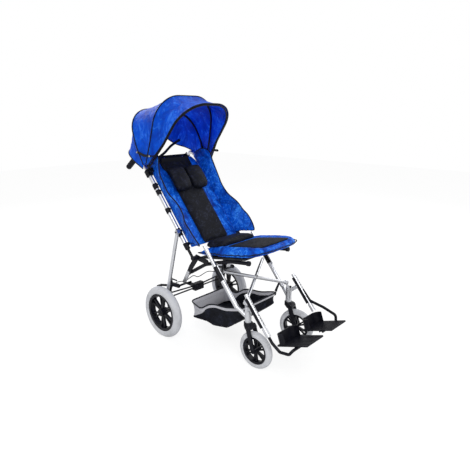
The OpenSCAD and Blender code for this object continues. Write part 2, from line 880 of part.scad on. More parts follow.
// The two rods between a push tube and its pivot
module fork_rods() {
    step = push_d / 2 - fork_rod_d / 2 - tube_wall / 2;
    plug_len = 10;
    collar = 8;
    in_x = plate_x + plate_t / 2 + fit;
    color("dimgray") both_sides() {
        for (o = [-step, step])
            rod(line(push_x, 0, o), line(push_x, fork_len - collar / 2, o), fork_rod_d);
        rod(line(push_x, fork_len - collar, 0), line(push_x, fork_len, 0), push_d);
        rod(line(push_x, fork_len - collar / 2, 0), line(push_x, fork_len + plug_len, 0), push_d - 2 * tube_wall);
        rod(line(in_x, 0, 0), line(push_x + fork_rod_d / 2 + tube_wall, 0, 0), push_d + tube_wall);
        rod(line(plate_x - plate_t / 2 - pin_d / 2, 0, 0), line(in_x + pin_d, 0, 0), pin_d);
    }
}

clamp_share = [0.42, 0.595, 0.655];

module tube_clamps() {
    clamp_len = 30;
    clamp_d = push_d + 2 * sleeve_wall;
    color("black") both_sides()
        for (k = clamp_share)
            difference() {
                union() {
                    rod(line(push_x, push_len * k, 0), line(push_x, push_len * k + clamp_len, 0), clamp_d);
                    rod(
                        line(push_x, push_len * k + clamp_len / 2, 0),
                        line(push_x, push_len * k + clamp_len / 2, clamp_d * 0.75),
                        clamp_len * 0.4
                    );
                }
                rod(line(push_x, push_len * k - over, 0), line(push_x, push_len * k + clamp_len + over, 0), push_d);
            }
}

rear_pivot = place(rear_top_x, rear_top_f, rear_top_z);
rear_pivot_s = (rear_top_z - push_foot_z) * sin(push_a) + (push_foot_f - rear_top_f) * cos(push_a);
rear_pivot_o = (rear_top_z - push_foot_z) * cos(push_a) - (push_foot_f - rear_top_f) * sin(push_a);

module leg_brackets() {
    block_w = push_d + 2 * sleeve_wall;
    block_len = 44;
    gap_s = rear_pivot_s - block_len * 1.9;
    inner_x = push_x;
    color("black") both_sides() {
        difference() {
            union() {
                rod(line(push_x, rear_pivot_s - block_len / 2, 0), line(push_x, rear_pivot_s + block_len / 2, 0), block_w);
                rod(
                    line(inner_x, rear_pivot_s, rear_pivot_o),
                    line(rear_top_x - leg_d / 2 - fit, rear_pivot_s, rear_pivot_o),
                    block_w * 0.8
                );
            }
            rod(line(push_x, 0, 0), line(push_x, push_len, 0), push_d);
        }
        rod(
            line(rear_top_x - leg_d / 2 - fit, rear_pivot_s, rear_pivot_o),
            line(rear_top_x + leg_d / 2 + pin_d / 2, rear_pivot_s, rear_pivot_o),
            pin_d
        );
        difference() {
            union() {
                rod(line(push_x, gap_s - block_len / 2, 0), line(push_x, gap_s + block_len / 3, 0), block_w);
                rod(line(push_x, gap_s, 0), line(push_x, gap_s, block_w * 0.9), block_w * 0.7);
            }
            rod(line(push_x, 0, 0), line(push_x, push_len, 0), push_d);
        }
    }
}

// Half width of the back along its length, drawn in at the shoulders
function back_w(s) = let (
    inner = wing_root_x - wing_t / 2 - fit,
    shoulder = back_len * 0.9
) s < shoulder ? inner : mix(inner, inner * 0.86, pow((s - shoulder) / (back_len - shoulder), 2));

module back_panel() {
    rows = 16;
    cols = 10;
    function grid(front) = [for (i = [0 : rows])
        let (s = mix(back_foot_s, back_len, i / rows), w = back_w(s), v = -1 + 2 * i / rows)
        [for (j = [0 : cols])
            let (u = -1 + 2 * j / cols, c = swell(u, v))
            line(u * w, s, back_off + (front ? back_t * (0.4 + 0.6 * c) : 0))]];
    color("royalblue") slab(grid(true), grid(false));
}

// Side wings: where each row leaves the back, then its edge up the tubes, in front of them and
// outward, as shares of the back's length, the wing's reach and the leg's half distance
wing_shares = [
    [0.125, 0.122, 0.19, 0.974], [0.131, 0.086, 0.56, 1.051], [0.141, 0.047, 0.8, 1.108],
    [0.153, 0.038, 0.91, 1.138], [0.172, 0.066, 0.95, 1.169], [0.203, 0.128, 0.96, 1.205],
    [0.258, 0.202, 0.94, 1.21], [0.32, 0.269, 0.87, 1.185], [0.391, 0.356, 0.88, 1.118],
    [0.484, 0.469, 0.73, 1.041], [0.586, 0.583, 0.61, 1.082], [0.688, 0.672, 0.66, 1.097],
    [0.773, 0.761, 0.73, 1.108], [0.836, 0.841, 0.88, 1.062], [0.891, 0.908, 1.03, 1.02],
    [0.938, 0.961, 0.94, 1], [0.977, 1, 0.7, 0.974], [1, 1.019, 0.32, 0.959]
];
wing_root_x = push_x - push_d / 2 - wing_t;

module side_wings() {
    cols = 6;
    function grid(k) = [for (row = wing_shares)
        [for (j = [0 : cols])
            let (t = j / cols)
            line(
                mix(wing_root_x, row[3] * leg_x, pow(t, 1.3)) + k * wing_t / 2,
                mix(row[0], row[1], t) * back_len,
                mix(back_off, row[2] * wing_reach, t)
            )]];
    color("royalblue") both_sides() slab(grid(1), grid(-1));
}

module back_liner() {
    rows = 16;
    cols = 8;
    foot = back_foot_s + back_t;
    head = back_len - band_len - fit;
    function grid(front) = [for (i = [0 : rows])
        let (s = mix(foot, head, i / rows), v = -1 + 2 * i / rows)
        [for (j = [0 : cols])
            let (u = -1 + 2 * j / cols, c = swell(u, v))
            line(u * liner_half_w, s, back_off + back_t + fit + (front ? liner_t * (0.35 + 0.65 * c) : 0))]];
    color("black") slab(grid(true), grid(false));
}

// The black head of the back, above the liner
band_s = back_len - band_len;
band_o = back_off + back_t * 0.93;
band_t = 8;
module top_band() {
    color("black")
        tube_frame(band_s)
            translate([-band_half_w, -band_o - band_t, 0]) cube([2 * band_half_w, band_t, band_len]);
}

module band_rivets() {
    rivet_d = 9;
    rivet_t = 3;
    lift = band_o + band_t;
    color("silver") both_sides()
        rod(
            line(band_half_w * 0.63, back_len - rivet_d, lift),
            line(band_half_w * 0.63, back_len - rivet_d, lift + rivet_t),
            rivet_d
        );
}

module bolster_pads() {
    rows = 10;
    cols = 10;
    low = back_len * 0.6;
    function grid(front) = [for (i = [0 : rows])
        let (v = -1 + 2 * i / rows, s = low + bolster_len * i / rows)
        [for (j = [0 : cols])
            let (u = -1 + 2 * j / cols, c = swell(u, v))
            line(
                bolster_w / 2 + fit + u * bolster_w / 2,
                s,
                back_off + back_t + liner_t + 2 * fit + (front ? bolster_t * (0.3 + 0.7 * c) : 0)
            )]];
    color("black") both_sides() slab(grid(true), grid(false));
}

// Hood

hood_s = back_len - hood_below;
hood_f = push_foot_f - hood_s * cos(push_a) + hood_o * sin(push_a);
hood_z = push_foot_z + hood_s * sin(push_a) + hood_o * cos(push_a);
hood_pivot = place(hood_x, hood_f, hood_z);
function hood_point(x, r, a) = place(x, hood_f + r * cos(a), hood_z + r * sin(a));

// X as it is, Z up the push tube, -Y in front of it
module tube_frame(s) {
    translate(line(0, s, 0)) rotate([push_a - 90, 0, 0]) children();
}

module hood_brackets() {
    len_s = 40;
    half = push_d / 2 + sleeve_wall;
    neck_x = push_x - push_d / 2;
    neck_out = hood_x - bow_step - bow_d / 2 - fit;
    color("black") both_sides() {
        difference() {
            union() {
                tube_frame(hood_s)
                    translate([push_x - half, -half, -len_s / 2]) cube([2 * half, 2 * half, len_s]);
                tube_frame(hood_s)
                    translate([neck_x, -hood_o - half * 0.7, -len_s / 3])
                        cube([neck_out - neck_x, hood_o, len_s / 1.5]);
            }
            rod(line(push_x, 0, 0), line(push_x, push_len, 0), push_d);
        }
        rod(line(neck_x + over, hood_s, hood_o), line(hood_x + 2.5 * bow_d, hood_s, hood_o), pin_d);
    }
}

// Share of a bow's reach at which its legs are widest
bow_knee = 0.42;

// A bow: its legs spread from the pivot, its top is drawn across
function bow_path(x, r, a, w) = [
    hood_point(-x, 0, a), hood_point(-w, r * bow_knee, a), hood_point(-w * 0.92, r, a),
    hood_point(w * 0.92, r, a), hood_point(w, r * bow_knee, a), hood_point(x, 0, a)
];
bow_bend_r = 160;
hem_bend_r = 105;

module bow(x, r, a, w) {
    leg = bow_path(x, r, a, w);
    eye = bow_d / 2 + sleeve_wall;
    difference() {
        union() {
            bent_rod(leg, bow_bend_r, bow_d);
            both_sides() rod(hood_point(x - bow_d * 0.4, 0, a), hood_point(x + bow_d * 0.4, 0, a), 2 * eye + pin_d / 2);
        }
        both_sides() rod(hood_point(x - bow_d, 0, a), hood_point(x + bow_d, 0, a), pin_d + 2 * run);
    }
}

bow_step = bow_d + 5 * fit;
module hood_bow_rear() { color("dimgray") bow(hood_x - bow_step, bow_rear_r, bow_rear_a, bow_rear_w); }
module hood_bow_mid() { color("dimgray") bow(hood_x, bow_mid_r, bow_mid_a, bow_mid_w); }
module hood_bow_front() { color("dimgray") bow(hood_x + bow_step, bow_front_r, bow_front_a, bow_front_w); }

// Cloth from one bow to the next, grown outward by a distance
function cloth_bow(x, r, a, w, grow, bend = bow_bend_r) = path_points([
    hood_point(-x, r * 0.1, a), hood_point(-w - grow, r * 0.42, a), hood_point(-w * 0.92 - grow, r + grow, a),
    hood_point(w * 0.92 + grow, r + grow, a), hood_point(w + grow, r * 0.42, a), hood_point(x, r * 0.1, a)
], bend, 8);

module hood_cloth(low_bow, high_bow, low_in, high_in) {
    rows = 3;
    function sheet(a, b) = [for (i = [0 : rows]) [for (j = [0 : len(a) - 1]) mix(a[j], b[j], i / rows)]];
    slab(sheet(low_in, high_in), sheet(low_bow, high_bow));
}

cloth_in = bow_d / 2 + 3.5 * fit;
cloth_x = hood_x + 2 * bow_step;
function rear_cloth(g) = cloth_bow(cloth_x, bow_rear_r, bow_rear_a, bow_rear_w, g);
function mid_cloth(g) = cloth_bow(cloth_x, bow_mid_r, bow_mid_a, bow_mid_w, g);
function front_cloth(g) = cloth_bow(cloth_x, bow_front_r, bow_front_a, bow_front_w, g);
function hem_cloth(g) = cloth_bow(cloth_x, hem_r, hem_a, bow_rear_w, g, hem_bend_r);
cloth_out = cloth_in + cloth_t;

module hood_panel_rear() {
    color("royalblue")
        difference() {
            hood_cloth(hem_cloth(cloth_out), rear_cloth(1.45 * cloth_out), hem_cloth(cloth_in), rear_cloth(1.45 * cloth_in));
            rivet_holes();
        }
}
module hood_panel_mid() {
    color("royalblue")
        difference() {
            hood_cloth(rear_cloth(cloth_out), mid_cloth(cloth_out), rear_cloth(cloth_in), mid_cloth(cloth_in));
            rivet_holes();
        }
}
module hood_panel_front() {
    color("royalblue")
        difference() {
            hood_cloth(mid_cloth(cloth_out), front_cloth(cloth_out), mid_cloth(cloth_in), front_cloth(cloth_in));
            rivet_holes();
        }
}

// Hood stays: each link runs from a rivet on its bow to the knee
stay_x = cloth_x + cloth_out + stay_t;
stay_rear_a = bow_rear_a;
stay_front_a = bow_front_a;
stay_knee_a = (stay_rear_a + stay_front_a) / 2;
stay_knee_r = stay_r * cos((stay_rear_a - stay_front_a) / 2) - stay_w / 2;

// Outer side of a bow's leg at the stay rivet, and the rivet from there to the outside of its link
function bow_side(x, r, w) = mix(x, w, stay_r / (r * bow_knee)) + bow_d / 2 + 4 * fit;
rivet_d = stay_w / 2;

module stay_rear_links() {
    color("black") both_sides() {
        flat_bar(hood_point(stay_x, stay_r, stay_rear_a), hood_point(stay_x, stay_knee_r, stay_knee_a), stay_w, stay_t);
        rod(
            hood_point(bow_side(hood_x - bow_step, bow_rear_r, bow_rear_w), stay_r, stay_rear_a),
            hood_point(stay_x + stay_t, stay_r, stay_rear_a),
            rivet_d
        );
    }
}

module stay_front_links() {
    x = stay_x + stay_t + fit;
    color("black") both_sides() {
        flat_bar(hood_point(x, stay_r, stay_front_a), hood_point(x, stay_knee_r, stay_knee_a), stay_w, stay_t);
        rod(
            hood_point(bow_side(hood_x + bow_step, bow_front_r, bow_front_w), stay_r, stay_front_a),
            hood_point(x + stay_t, stay_r, stay_front_a),
            rivet_d
        );
    }
}

// Holes of the stay rivets in the cloth
module rivet_holes() {
    for (a = [bow_rear_a, bow_front_a])
        rod(hood_point(-bow_rear_w * 1.2, stay_r, a), hood_point(bow_rear_w * 1.2, stay_r, a), rivet_d + 2 * fit);
}

// Rear frame

rear_low = place(rear_low_x, rear_low_f, rear_low_z);

module rear_legs() {
    eye_d = leg_d;
    dir = unit(rear_low - rear_pivot);
    color("silver") both_sides()
        difference() {
            union() {
                rod(rear_pivot, rear_low, leg_d);
                rod(rear_pivot - [leg_d / 2, 0, 0], rear_pivot + [leg_d / 2, 0, 0], eye_d * 1.2);
            }
            rod(rear_pivot + dir * leg_d, rear_low + dir * over, leg_d - 2 * tube_wall);
            rod(rear_pivot - [leg_d, 0, 0], rear_pivot + [leg_d, 0, 0], pin_d + 2 * run);
        }
}

// Black plates at the foot of the rear legs, with the axles and the lock pins
rear_plate_x = rear_low_x - leg_d / 2 - rear_plate_t / 2 + tube_wall;
module rear_plates() {
    x = rear_plate_x;
    post_w = 34;
    axle = place(x, 0, rear_r);
    out_x = rear_x + rear_hub_w / 2;
    top = place(x, mix(rear_low_f, rear_top_f, 0.26), mix(rear_low_z, rear_top_z, 0.26));
    nose = place(x, lock_pin_f, lock_pin_z);
    color("black") both_sides() {
        difference() {
            union() {
                side_strip([axle, place(x, rear_low_f, rear_low_z), top], post_w, rear_plate_t);
                side_strip([top - [0, 0, post_w / 3], nose], post_w * 0.7, rear_plate_t);
            }
            rod(rear_pivot, rear_low + unit(rear_low - rear_pivot) * post_w, leg_d);
        }
        rod(axle, place(out_x + fit + rear_axle_d / 6, 0, rear_r), rear_axle_d);
        rod(place(out_x + fit, 0, rear_r), place(out_x + fit + rear_axle_d / 5, 0, rear_r), rear_axle_d * 1.5);
        rod(axle, place(rear_x - rear_hub_w / 2 - fit, 0, rear_r), rear_axle_d * 2);
        rod(place(plate_x - 2 * plate_t, lock_pin_f, lock_pin_z), nose, lock_pin_d);
    }
}

brace_in_x = latch_w / 2;
pedal_w = latch_w * 0.5;
pedal_hub_d = 14;
pedal_pin_d = 6;
pedal_y = latch_t / 2 + pedal_hub_d / 2 + fit;
pedal_z = brace_z - latch_h / 6;

module rear_brace() {
    x = rear_plate_x - rear_plate_t / 2;
    ear_t = 5;
    color("black") {
        both_sides() {
            for (k = [-1, 1]) {
                end = place(x - brace_d / 2, rear_low_f, brace_z + k * brace_gap / 2);
                rod(place(brace_in_x - latch_t / 3, 0, brace_z + k * brace_gap / 4), end, brace_d);
                rod(end - [brace_d * 0.6, 0, 0], end + [brace_d / 2, 0, 0], brace_d * 1.6);
            }
            translate(place(pedal_w / 2 + fit, -latch_t / 3, pedal_z - pedal_hub_d / 2))
                cube([ear_t, latch_t / 2 + pedal_hub_d, pedal_hub_d]);
        }
        translate(place(-brace_in_x, latch_t / 2, brace_z - latch_h / 2)) cube([latch_w, latch_t, latch_h]);
        rod(place(-pedal_w / 2 - ear_t, -pedal_y, pedal_z), place(pedal_w / 2 + ear_t, -pedal_y, pedal_z), pedal_pin_d);
    }
}

module fold_pedal() {
    pedal_t = 6;
    color("black")
        difference() {
            union() {
                rod(place(-pedal_w / 2, -pedal_y, pedal_z), place(pedal_w / 2, -pedal_y, pedal_z), pedal_hub_d);
                translate(place(-pedal_w / 2, -pedal_y, pedal_z - pedal_t / 2)) cube([pedal_w, pedal_len, pedal_t]);
                translate(place(-pedal_w / 2, -pedal_y - pedal_len + pedal_t, pedal_z))
                    cube([pedal_w, pedal_t, pedal_t * 2]);
            }
            rod(place(-pedal_w, -pedal_y, pedal_z), place(pedal_w, -pedal_y, pedal_z), pedal_pin_d + 2 * run);
        }
}

// Free run of the brake cable between the two rear plates, over the latch: across, back and up
cable_shares = [
    [-1, 0.15, -0.6], [-0.68, 0.65, 0.6], [-0.32, 0.85, 0], [-0.05, 0.75, 0.8],
    [0.18, 0.95, -0.3], [0.5, 0.75, 0.5], [0.77, 0.6, -0.2], [1, 0.15, -0.6]
];
cable_half = rear_plate_x - rear_plate_t / 2 - lock_gap - cable_d / 5;
brake_route = [for (q = cable_shares)
    place(q.x * cable_half, -q.y * cable_sag, (brace_z + brake_z) / 2 + (q.z + 0.5) * cable_sag / 2)];

cable_bend_r = 18;
module brake_cable() {
    color("black") bent_rod(brake_route, cable_bend_r, cable_d);
}

brake_x = rear_plate_x - rear_plate_t / 2 - fit;
brake_f = mix(rear_low_f, rear_top_f, 0.2);
brake_pin_d = 8;
module brake_lever(side) {
    hub_d = 20;
    arm_t = 8;
    pad_w = 34;
    hub = place(brake_x - arm_t / 2, brake_f, brake_z);
    tip = place(brake_x - arm_t / 2, brake_f - brake_len, brake_z - hub_d);
    hook = place(brake_x - arm_t / 2, brake_f + hub_d / 4, brake_z + hub_d * 2.2);
    color("black") on_side(side) {
        flat_bar(hub, tip, hub_d * 0.6, arm_t);
        flat_bar(hub, hook, hub_d * 0.6, arm_t);
        rod(hub - [arm_t / 2, 0, 0], hub + [arm_t / 2, 0, 0], hub_d);
        translate(tip - [arm_t / 2, arm_t, arm_t / 2]) cube([pad_w, hub_d, arm_t]);
        rod(hook, hook - [0, hub_d * 2.4, 0], arm_t);
    }
}
module brake_lever_left() { brake_lever(1); }
module brake_lever_right() { brake_lever(-1); }

// Wheels, turned round their own axle

// Section of a rim: channel floor with two flanges
module rim_ring(r, w, tyre_r, wall) {
    floor_r = r - tyre_r * 0.45;
    rotate_extrude($fn = 2 * fine)
        polygon([
            [floor_r - wall, -w / 2], [r, -w / 2], [r, -w / 2 + wall * 0.7], [floor_r, -w / 2 + wall * 1.4],
            [floor_r, w / 2 - wall * 1.4], [r, w / 2 - wall * 0.7], [r, w / 2], [floor_r - wall, w / 2]
        ]);
}

module tyre_ring(r, tyre_r, rim_r, rim_w, wall) {
    floor_r = rim_r - tyre_r * 0.45;
    difference() {
        rotate_extrude($fn = 2 * fine) translate([r - tyre_r, 0]) circle(r = tyre_r, $fn = fine);
        rotate_extrude($fn = 2 * fine)
            polygon([
                [0, -rim_w], [rim_r, -rim_w], [rim_r, -rim_w / 2 + wall * 0.7], [floor_r, -rim_w / 2 + wall * 1.4],
                [floor_r, rim_w / 2 - wall * 1.4], [rim_r, rim_w / 2 - wall * 0.7], [rim_r, rim_w], [0, rim_w]
            ]);
    }
}

module wheel_rim(r, w, tyre_r, hub_r, hub_w, axle_d, spokes, spoke_w, wall) {
    floor_r = r - tyre_r * 0.45;
    difference() {
        union() {
            rim_ring(r, w, tyre_r, wall);
            cylinder(r = hub_r, h = hub_w, center = true, $fn = fine);
            for (k = [0 : spokes - 1])
                rotate([0, 0, k * 360 / spokes])
                    for (s = [-1, 1])
                        rotate([0, 0, s * 9])
                            translate([hub_r * 0.7, -spoke_w / 2, -w * 0.2])
                                cube([floor_r - wall * 0.5 - hub_r * 0.7, spoke_w, w * 0.4]);
        }
        cylinder(d = axle_d + 2 * run, h = hub_w + 2 * over, center = true, $fn = fine);
    }
}

rim_wall = 5;
module rear_wheel_frame(side) {
    translate(place(side * rear_x, 0, rear_r)) rotate([0, 90, 0]) children();
}
module rear_tyre(side) {
    color("lightgray") rear_wheel_frame(side) tyre_ring(rear_r, rear_tyre_r, rear_rim_r, rear_rim_w, rim_wall);
}
module rear_rim(side) {
    color("black") rear_wheel_frame(side)
        wheel_rim(rear_rim_r, rear_rim_w, rear_tyre_r, rear_hub_r, rear_hub_w, rear_axle_d, 6, 9, rim_wall);
}
module rear_tyre_left() { rear_tyre(1); }
module rear_tyre_right() { rear_tyre(-1); }
module rear_rim_left() { rear_rim(1); }
module rear_rim_right() { rear_rim(-1); }

function turn(side) = side > 0 ? caster_turn_left : caster_turn_right;
module caster_frame(side) {
    translate(place(side * stem_x, stem_f, 0)) rotate([0, 0, turn(side)]) children();
}
module front_wheel_frame(side) {
    caster_frame(side) translate([0, -trail, front_r]) rotate([0, 90, 0]) children();
}
front_wall = 4;
module front_tyre(side) {
    color("lightgray") front_wheel_frame(side)
        tyre_ring(front_r, front_tyre_r, front_rim_r, front_rim_w, front_wall);
}
module front_rim(side) {
    color("black") front_wheel_frame(side)
        wheel_rim(front_rim_r, front_rim_w, front_tyre_r, front_hub_r, front_hub_w, front_axle_d, 6, 7, front_wall);
}
module front_tyre_left() { front_tyre(1); }
module front_tyre_right() { front_tyre(-1); }
module front_rim_left() { front_rim(1); }
module front_rim_right() { front_rim(-1); }

// A caster fork with its stem and the front axle
module caster_fork(side) {
    crown_r = fork_gap / 2 + fork_t;
    blade_w = 30;
    color("black") caster_frame(side) {
        hull() {
            translate([0, 0, crown_z - crown_r * 0.7]) cylinder(r = crown_r * 0.75, h = crown_r * 0.7, $fn = 32);
            translate([-crown_r, -trail * 0.35 - blade_w / 2, crown_z - crown_r]) cube([2 * crown_r, blade_w, fork_t]);
        }
        translate([0, 0, crown_z - fork_t / 2]) cylinder(d = stem_d, h = head_d, $fn = fine);
        for (s = [-1, 1])
            translate([s * (fork_gap + fork_t) / 2, 0, 0]) {
                flat_bar([0, -trail * 0.35, crown_z - crown_r + fork_t], [0, -trail, front_r], blade_w * 0.8, fork_t);
            }
        translate([0, -trail, front_r])
            rotate([0, 90, 0])
                cylinder(d = front_axle_d, h = fork_gap + 2 * fork_t + front_axle_d, center = true, $fn = fine);
    }
}
module caster_fork_left() { caster_fork(1); }
module caster_fork_right() { caster_fork(-1); }

// Footrests

// The arm is the same on both sides, set under the collar on the right and over it on the left
plate_hinge = place(foot_x, plate_hinge_f, plate_hinge_z);
arm_end_x = mix(plate_in_x, plate_out_x, 0.2);
arm_bend_r = 18;
function arm_route(side) = side > 0 ? [
    foot_point(arm_back - arm_d, 0), foot_low + foot_dir * -arm_back + [0, 0, arm_d * 1.2],
    place(foot_x, mix(foot_low_f, plate_hinge_f, 0.42), foot_low_z + arm_d * 2.6),
    place(foot_x, plate_hinge_f - arm_d / 3, foot_low_z + arm_d * 1.2),
    plate_hinge,
    place(arm_end_x, plate_hinge_f, plate_hinge_z)
] : [
    foot_low - foot_dir, foot_low + foot_dir * arm_d * 2.2,
    place(foot_x, mix(foot_low_f, plate_hinge_f, 0.5), plate_hinge_z - arm_d * 2.1),
    place(foot_x, plate_hinge_f - arm_d, plate_hinge_z - arm_d * 1.6),
    plate_hinge,
    place(arm_end_x, plate_hinge_f, plate_hinge_z)
];
collar_len = 44;
arm_back = collar_len;

module footrest_tube(side) {
    collar_d = foot_d + 6;
    foot_len = norm(foot_low - foot_top);
    holes = floor((foot_len - collar_len - hole_pitch) / hole_pitch);
    color("silver") on_side(side)
        difference() {
            union() {
                rod(foot_top, foot_low, foot_d);
                rod(foot_point(foot_len - collar_len, 0), foot_point(foot_len + over, 0), collar_d);
            }
            rod(foot_point(-over, 0), foot_point(foot_len - collar_len, 0), foot_d - 2 * tube_wall);
            for (k = [1 : holes])
                rod(foot_point(k * hole_pitch, -foot_d), foot_point(k * hole_pitch, foot_d), hole_d);
        }
}
module footrest_tube_left() { footrest_tube(1); }
module footrest_tube_right() { footrest_tube(-1); }

module footrest_arm(side) {
    color("black") on_side(side)
        difference() {
            bent_rod(arm_route(side), arm_bend_r, arm_d);
            rod(foot_top, foot_low + foot_dir * over, foot_d + 6);
        }
}
module footrest_arm_left() { footrest_arm(1); }
module footrest_arm_right() { footrest_arm(-1); }

// Ribbed plate on its hinge, with a heel loop round its rear
module footplate(side) {
    rib_t = 2;
    ribs = 7;
    loop_t = 6;
    clip_w = 20;
    top = arm_d / 2 + fit + foot_plate_t / 2 + foot_plate_t;
    w = plate_out_x - plate_in_x;
    mid = (plate_in_x + plate_out_x) / 2;
    color("black") on_side(side)
        translate(place(0, plate_hinge_f, plate_hinge_z)) rotate([-plate_tilt, 0, 0]) {
            translate([plate_in_x, -plate_front_len, top - foot_plate_t])
                cube([w, plate_front_len + plate_rear_len, foot_plate_t]);
            for (k = [1 : ribs])
                translate([plate_in_x + k * w / (ribs + 1) - rib_t / 2, -plate_front_len + rib_t * 2, top - rib_t / 2])
                    cube([rib_t, plate_front_len + plate_rear_len - rib_t * 10, rib_t * 1.25]);
            difference() {
                translate([mid, 0, top - foot_plate_t / 2])
                    linear_extrude(height = heel_h)
                        difference() {
                            heel_outline(w, 0);
                            heel_outline(w, loop_t);
                        }
            }
            for (x = [mid - w / 3, mid + w / 3])
                difference() {
                    translate([x - clip_w / 2, -clip_w / 2, 0]) cube([clip_w, clip_w, top - foot_plate_t / 2]);
                    rotate([0, 90, 0]) cylinder(d = arm_d + 2 * run, h = 2 * plate_out_x, $fn = fine);
                }
        }
}
// Outline of the heel loop: a wide bow round the rear edge, open to the front
module heel_outline(w, inset) {
    r = w * 0.22;
    reach = plate_rear_len;
    front = inset > 0 ? -reach * 0.3 : reach * 0.55;
    difference() {
        hull()
            for (x = [-w / 2 + r, w / 2 - r])
                translate([x, reach - r]) circle(r = r - inset, $fn = fine);
        if (inset == 0) translate([-w, -reach]) square([2 * w, reach * 1.45]);
    }
    if (inset > 0) translate([-w / 2 + inset, front]) square([w - 2 * inset, reach - front - r]);
}
module footplate_left() { footplate(1); }
module footplate_right() { footplate(-1); }

front_leg_tubes();
front_leg_sleeves();
lock_rods();
cross_bars();
cross_bolt();
caster_heads();
caster_caps();
footrest_channels();
basket();
seat_rails();
side_plates();
link_plates();
seat_pivots();
seat_board();
seat_cushion();
seat_pad();
seat_block();
push_tubes();
fork_rods();
handle_grips();
tube_clamps();
leg_brackets();
back_panel();
side_wings();
back_liner();
top_band();
band_rivets();
bolster_pads();
hood_brackets();
hood_bow_rear();
hood_bow_mid();
hood_bow_front();
hood_panel_rear();
hood_panel_mid();
hood_panel_front();
stay_rear_links();
stay_front_links();
rear_legs();
rear_plates();
rear_brace();
fold_pedal();
brake_cable();
brake_lever_left();
brake_lever_right();
rear_tyre_left();
rear_rim_left();
rear_tyre_right();
rear_rim_right();
caster_fork_left();
caster_fork_right();
front_tyre_left();
front_rim_left();
front_tyre_right();
front_rim_right();
footrest_tube_left();
footrest_tube_right();
footrest_arm_left();
footrest_arm_right();
footplate_left();
footplate_right();
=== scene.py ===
"""Folding push chair for a disabled child: cloth, pads, hood, basket and finishes round its frame."""
import json
import math

import bmesh
import bpy
import numpy as np
from bpy.props import FloatProperty, FloatVectorProperty, IntProperty, PointerProperty
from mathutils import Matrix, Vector


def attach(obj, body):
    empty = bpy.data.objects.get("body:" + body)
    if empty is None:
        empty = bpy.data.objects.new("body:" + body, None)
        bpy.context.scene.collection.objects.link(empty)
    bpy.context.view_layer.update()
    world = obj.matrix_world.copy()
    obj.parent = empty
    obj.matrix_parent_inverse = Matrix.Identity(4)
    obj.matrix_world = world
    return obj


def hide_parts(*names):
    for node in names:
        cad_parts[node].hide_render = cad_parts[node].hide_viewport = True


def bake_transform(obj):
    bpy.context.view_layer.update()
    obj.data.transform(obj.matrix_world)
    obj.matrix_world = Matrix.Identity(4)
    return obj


bl_info = {
    "name": "Folding push chair",
    "version": (1, 0, 0),
    "blender": (4, 5, 0),
    "location": "View3D > Sidebar > Push chair",
    "description": "Cloth, pads, hood, basket and finishes of a folding push chair",
    "category": "Object",
}

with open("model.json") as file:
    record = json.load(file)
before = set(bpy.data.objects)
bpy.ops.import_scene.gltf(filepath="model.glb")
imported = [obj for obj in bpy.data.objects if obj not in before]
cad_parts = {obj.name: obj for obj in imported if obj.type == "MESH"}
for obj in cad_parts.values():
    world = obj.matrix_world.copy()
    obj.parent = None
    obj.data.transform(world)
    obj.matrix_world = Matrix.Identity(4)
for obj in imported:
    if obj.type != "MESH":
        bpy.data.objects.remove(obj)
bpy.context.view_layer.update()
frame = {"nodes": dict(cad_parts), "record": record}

# Places of the frame, in metres, as in the part's source
AXLE_Y = 0.272
FOOT_F, FOOT_Z = 0.190, 0.502
TOP_F, TOP_Z = -0.254, 1.036
PUSH_ANGLE = math.atan2(TOP_Z - FOOT_Z, FOOT_F - TOP_F)
HOOD_F, HOOD_Z = -0.145, 0.951
BACK_LEN = 0.640
BACK_OFF, BACK_T = 0.006, 0.014
SEAT_REAR, SEAT_FRONT = 0.205, 0.640
SEAT_REAR_Z, SEAT_RISE = 0.532, 0.080
WING_ROOT = 0.186
WING_REACH = 0.125
LEG_X = 0.195
PUSH_X = 0.205
BACK_HALF = 0.1816
STAY_REACH = 0.112
# Rear and front of the basket's rim
RIM_F, RIM_Z = (0.095, 0.500), (0.206, 0.284)
# Each row of a wing: its root and its edge up the tubes, then its reach and spread, as shares
WING_SHARES = [
    (0.125, 0.122, 0.19, 0.974), (0.131, 0.086, 0.56, 1.051), (0.141, 0.047, 0.80, 1.108),
    (0.153, 0.038, 0.91, 1.138), (0.172, 0.066, 0.95, 1.169), (0.203, 0.128, 0.96, 1.205),
    (0.258, 0.202, 0.94, 1.210), (0.320, 0.269, 0.87, 1.185), (0.391, 0.356, 0.88, 1.118),
    (0.484, 0.469, 0.73, 1.041), (0.586, 0.583, 0.61, 1.082), (0.688, 0.672, 0.66, 1.097),
    (0.773, 0.761, 0.73, 1.108), (0.836, 0.841, 0.88, 1.062), (0.891, 0.908, 1.03, 1.020),
    (0.938, 0.961, 0.94, 1.000), (0.977, 1.000, 0.70, 0.974), (1.000, 1.019, 0.32, 0.959),
]
# Bows of the hood: angle, reach and half width; the hem is where the rear cloth ends
BOWS = {
    "hem": (152.0, 0.236, 0.244),
    "rear": (115.0, 0.362, 0.244),
    "mid": (77.0, 0.408, 0.222),
    "front": (51.5, 0.453, 0.200),
}
BEND = {"hem": 0.105, "rear": 0.160, "mid": 0.160, "front": 0.160}
# The cloth's line over a bow: side distance of its ends, clearance and the share of the reach where it starts
CLOTH_X = 0.244
CLOTH_GROW = 0.0072
CLOTH_FOOT = 0.1
# Shares of a bow's reach and half width where its legs end and its top begins
KNEE_SHARE, TOP_SHARE = 0.42, 0.92
# The hem rises by a share of the way to the rear bow over its middle, out to a half width
HEM_LIFT, HEM_HALF = 0.30, 0.20
# The photograph's camera: place, turn, lift and lens
CAMERA_AT = (-1.72605, -1.62514, 1.26547)
CAMERA_TURN, CAMERA_LIFT = math.radians(-47.431), math.radians(15.497)
CAMERA_LENS, CAMERA_SENSOR = 33.774, 36.0


# Sizes and colours that a user would change

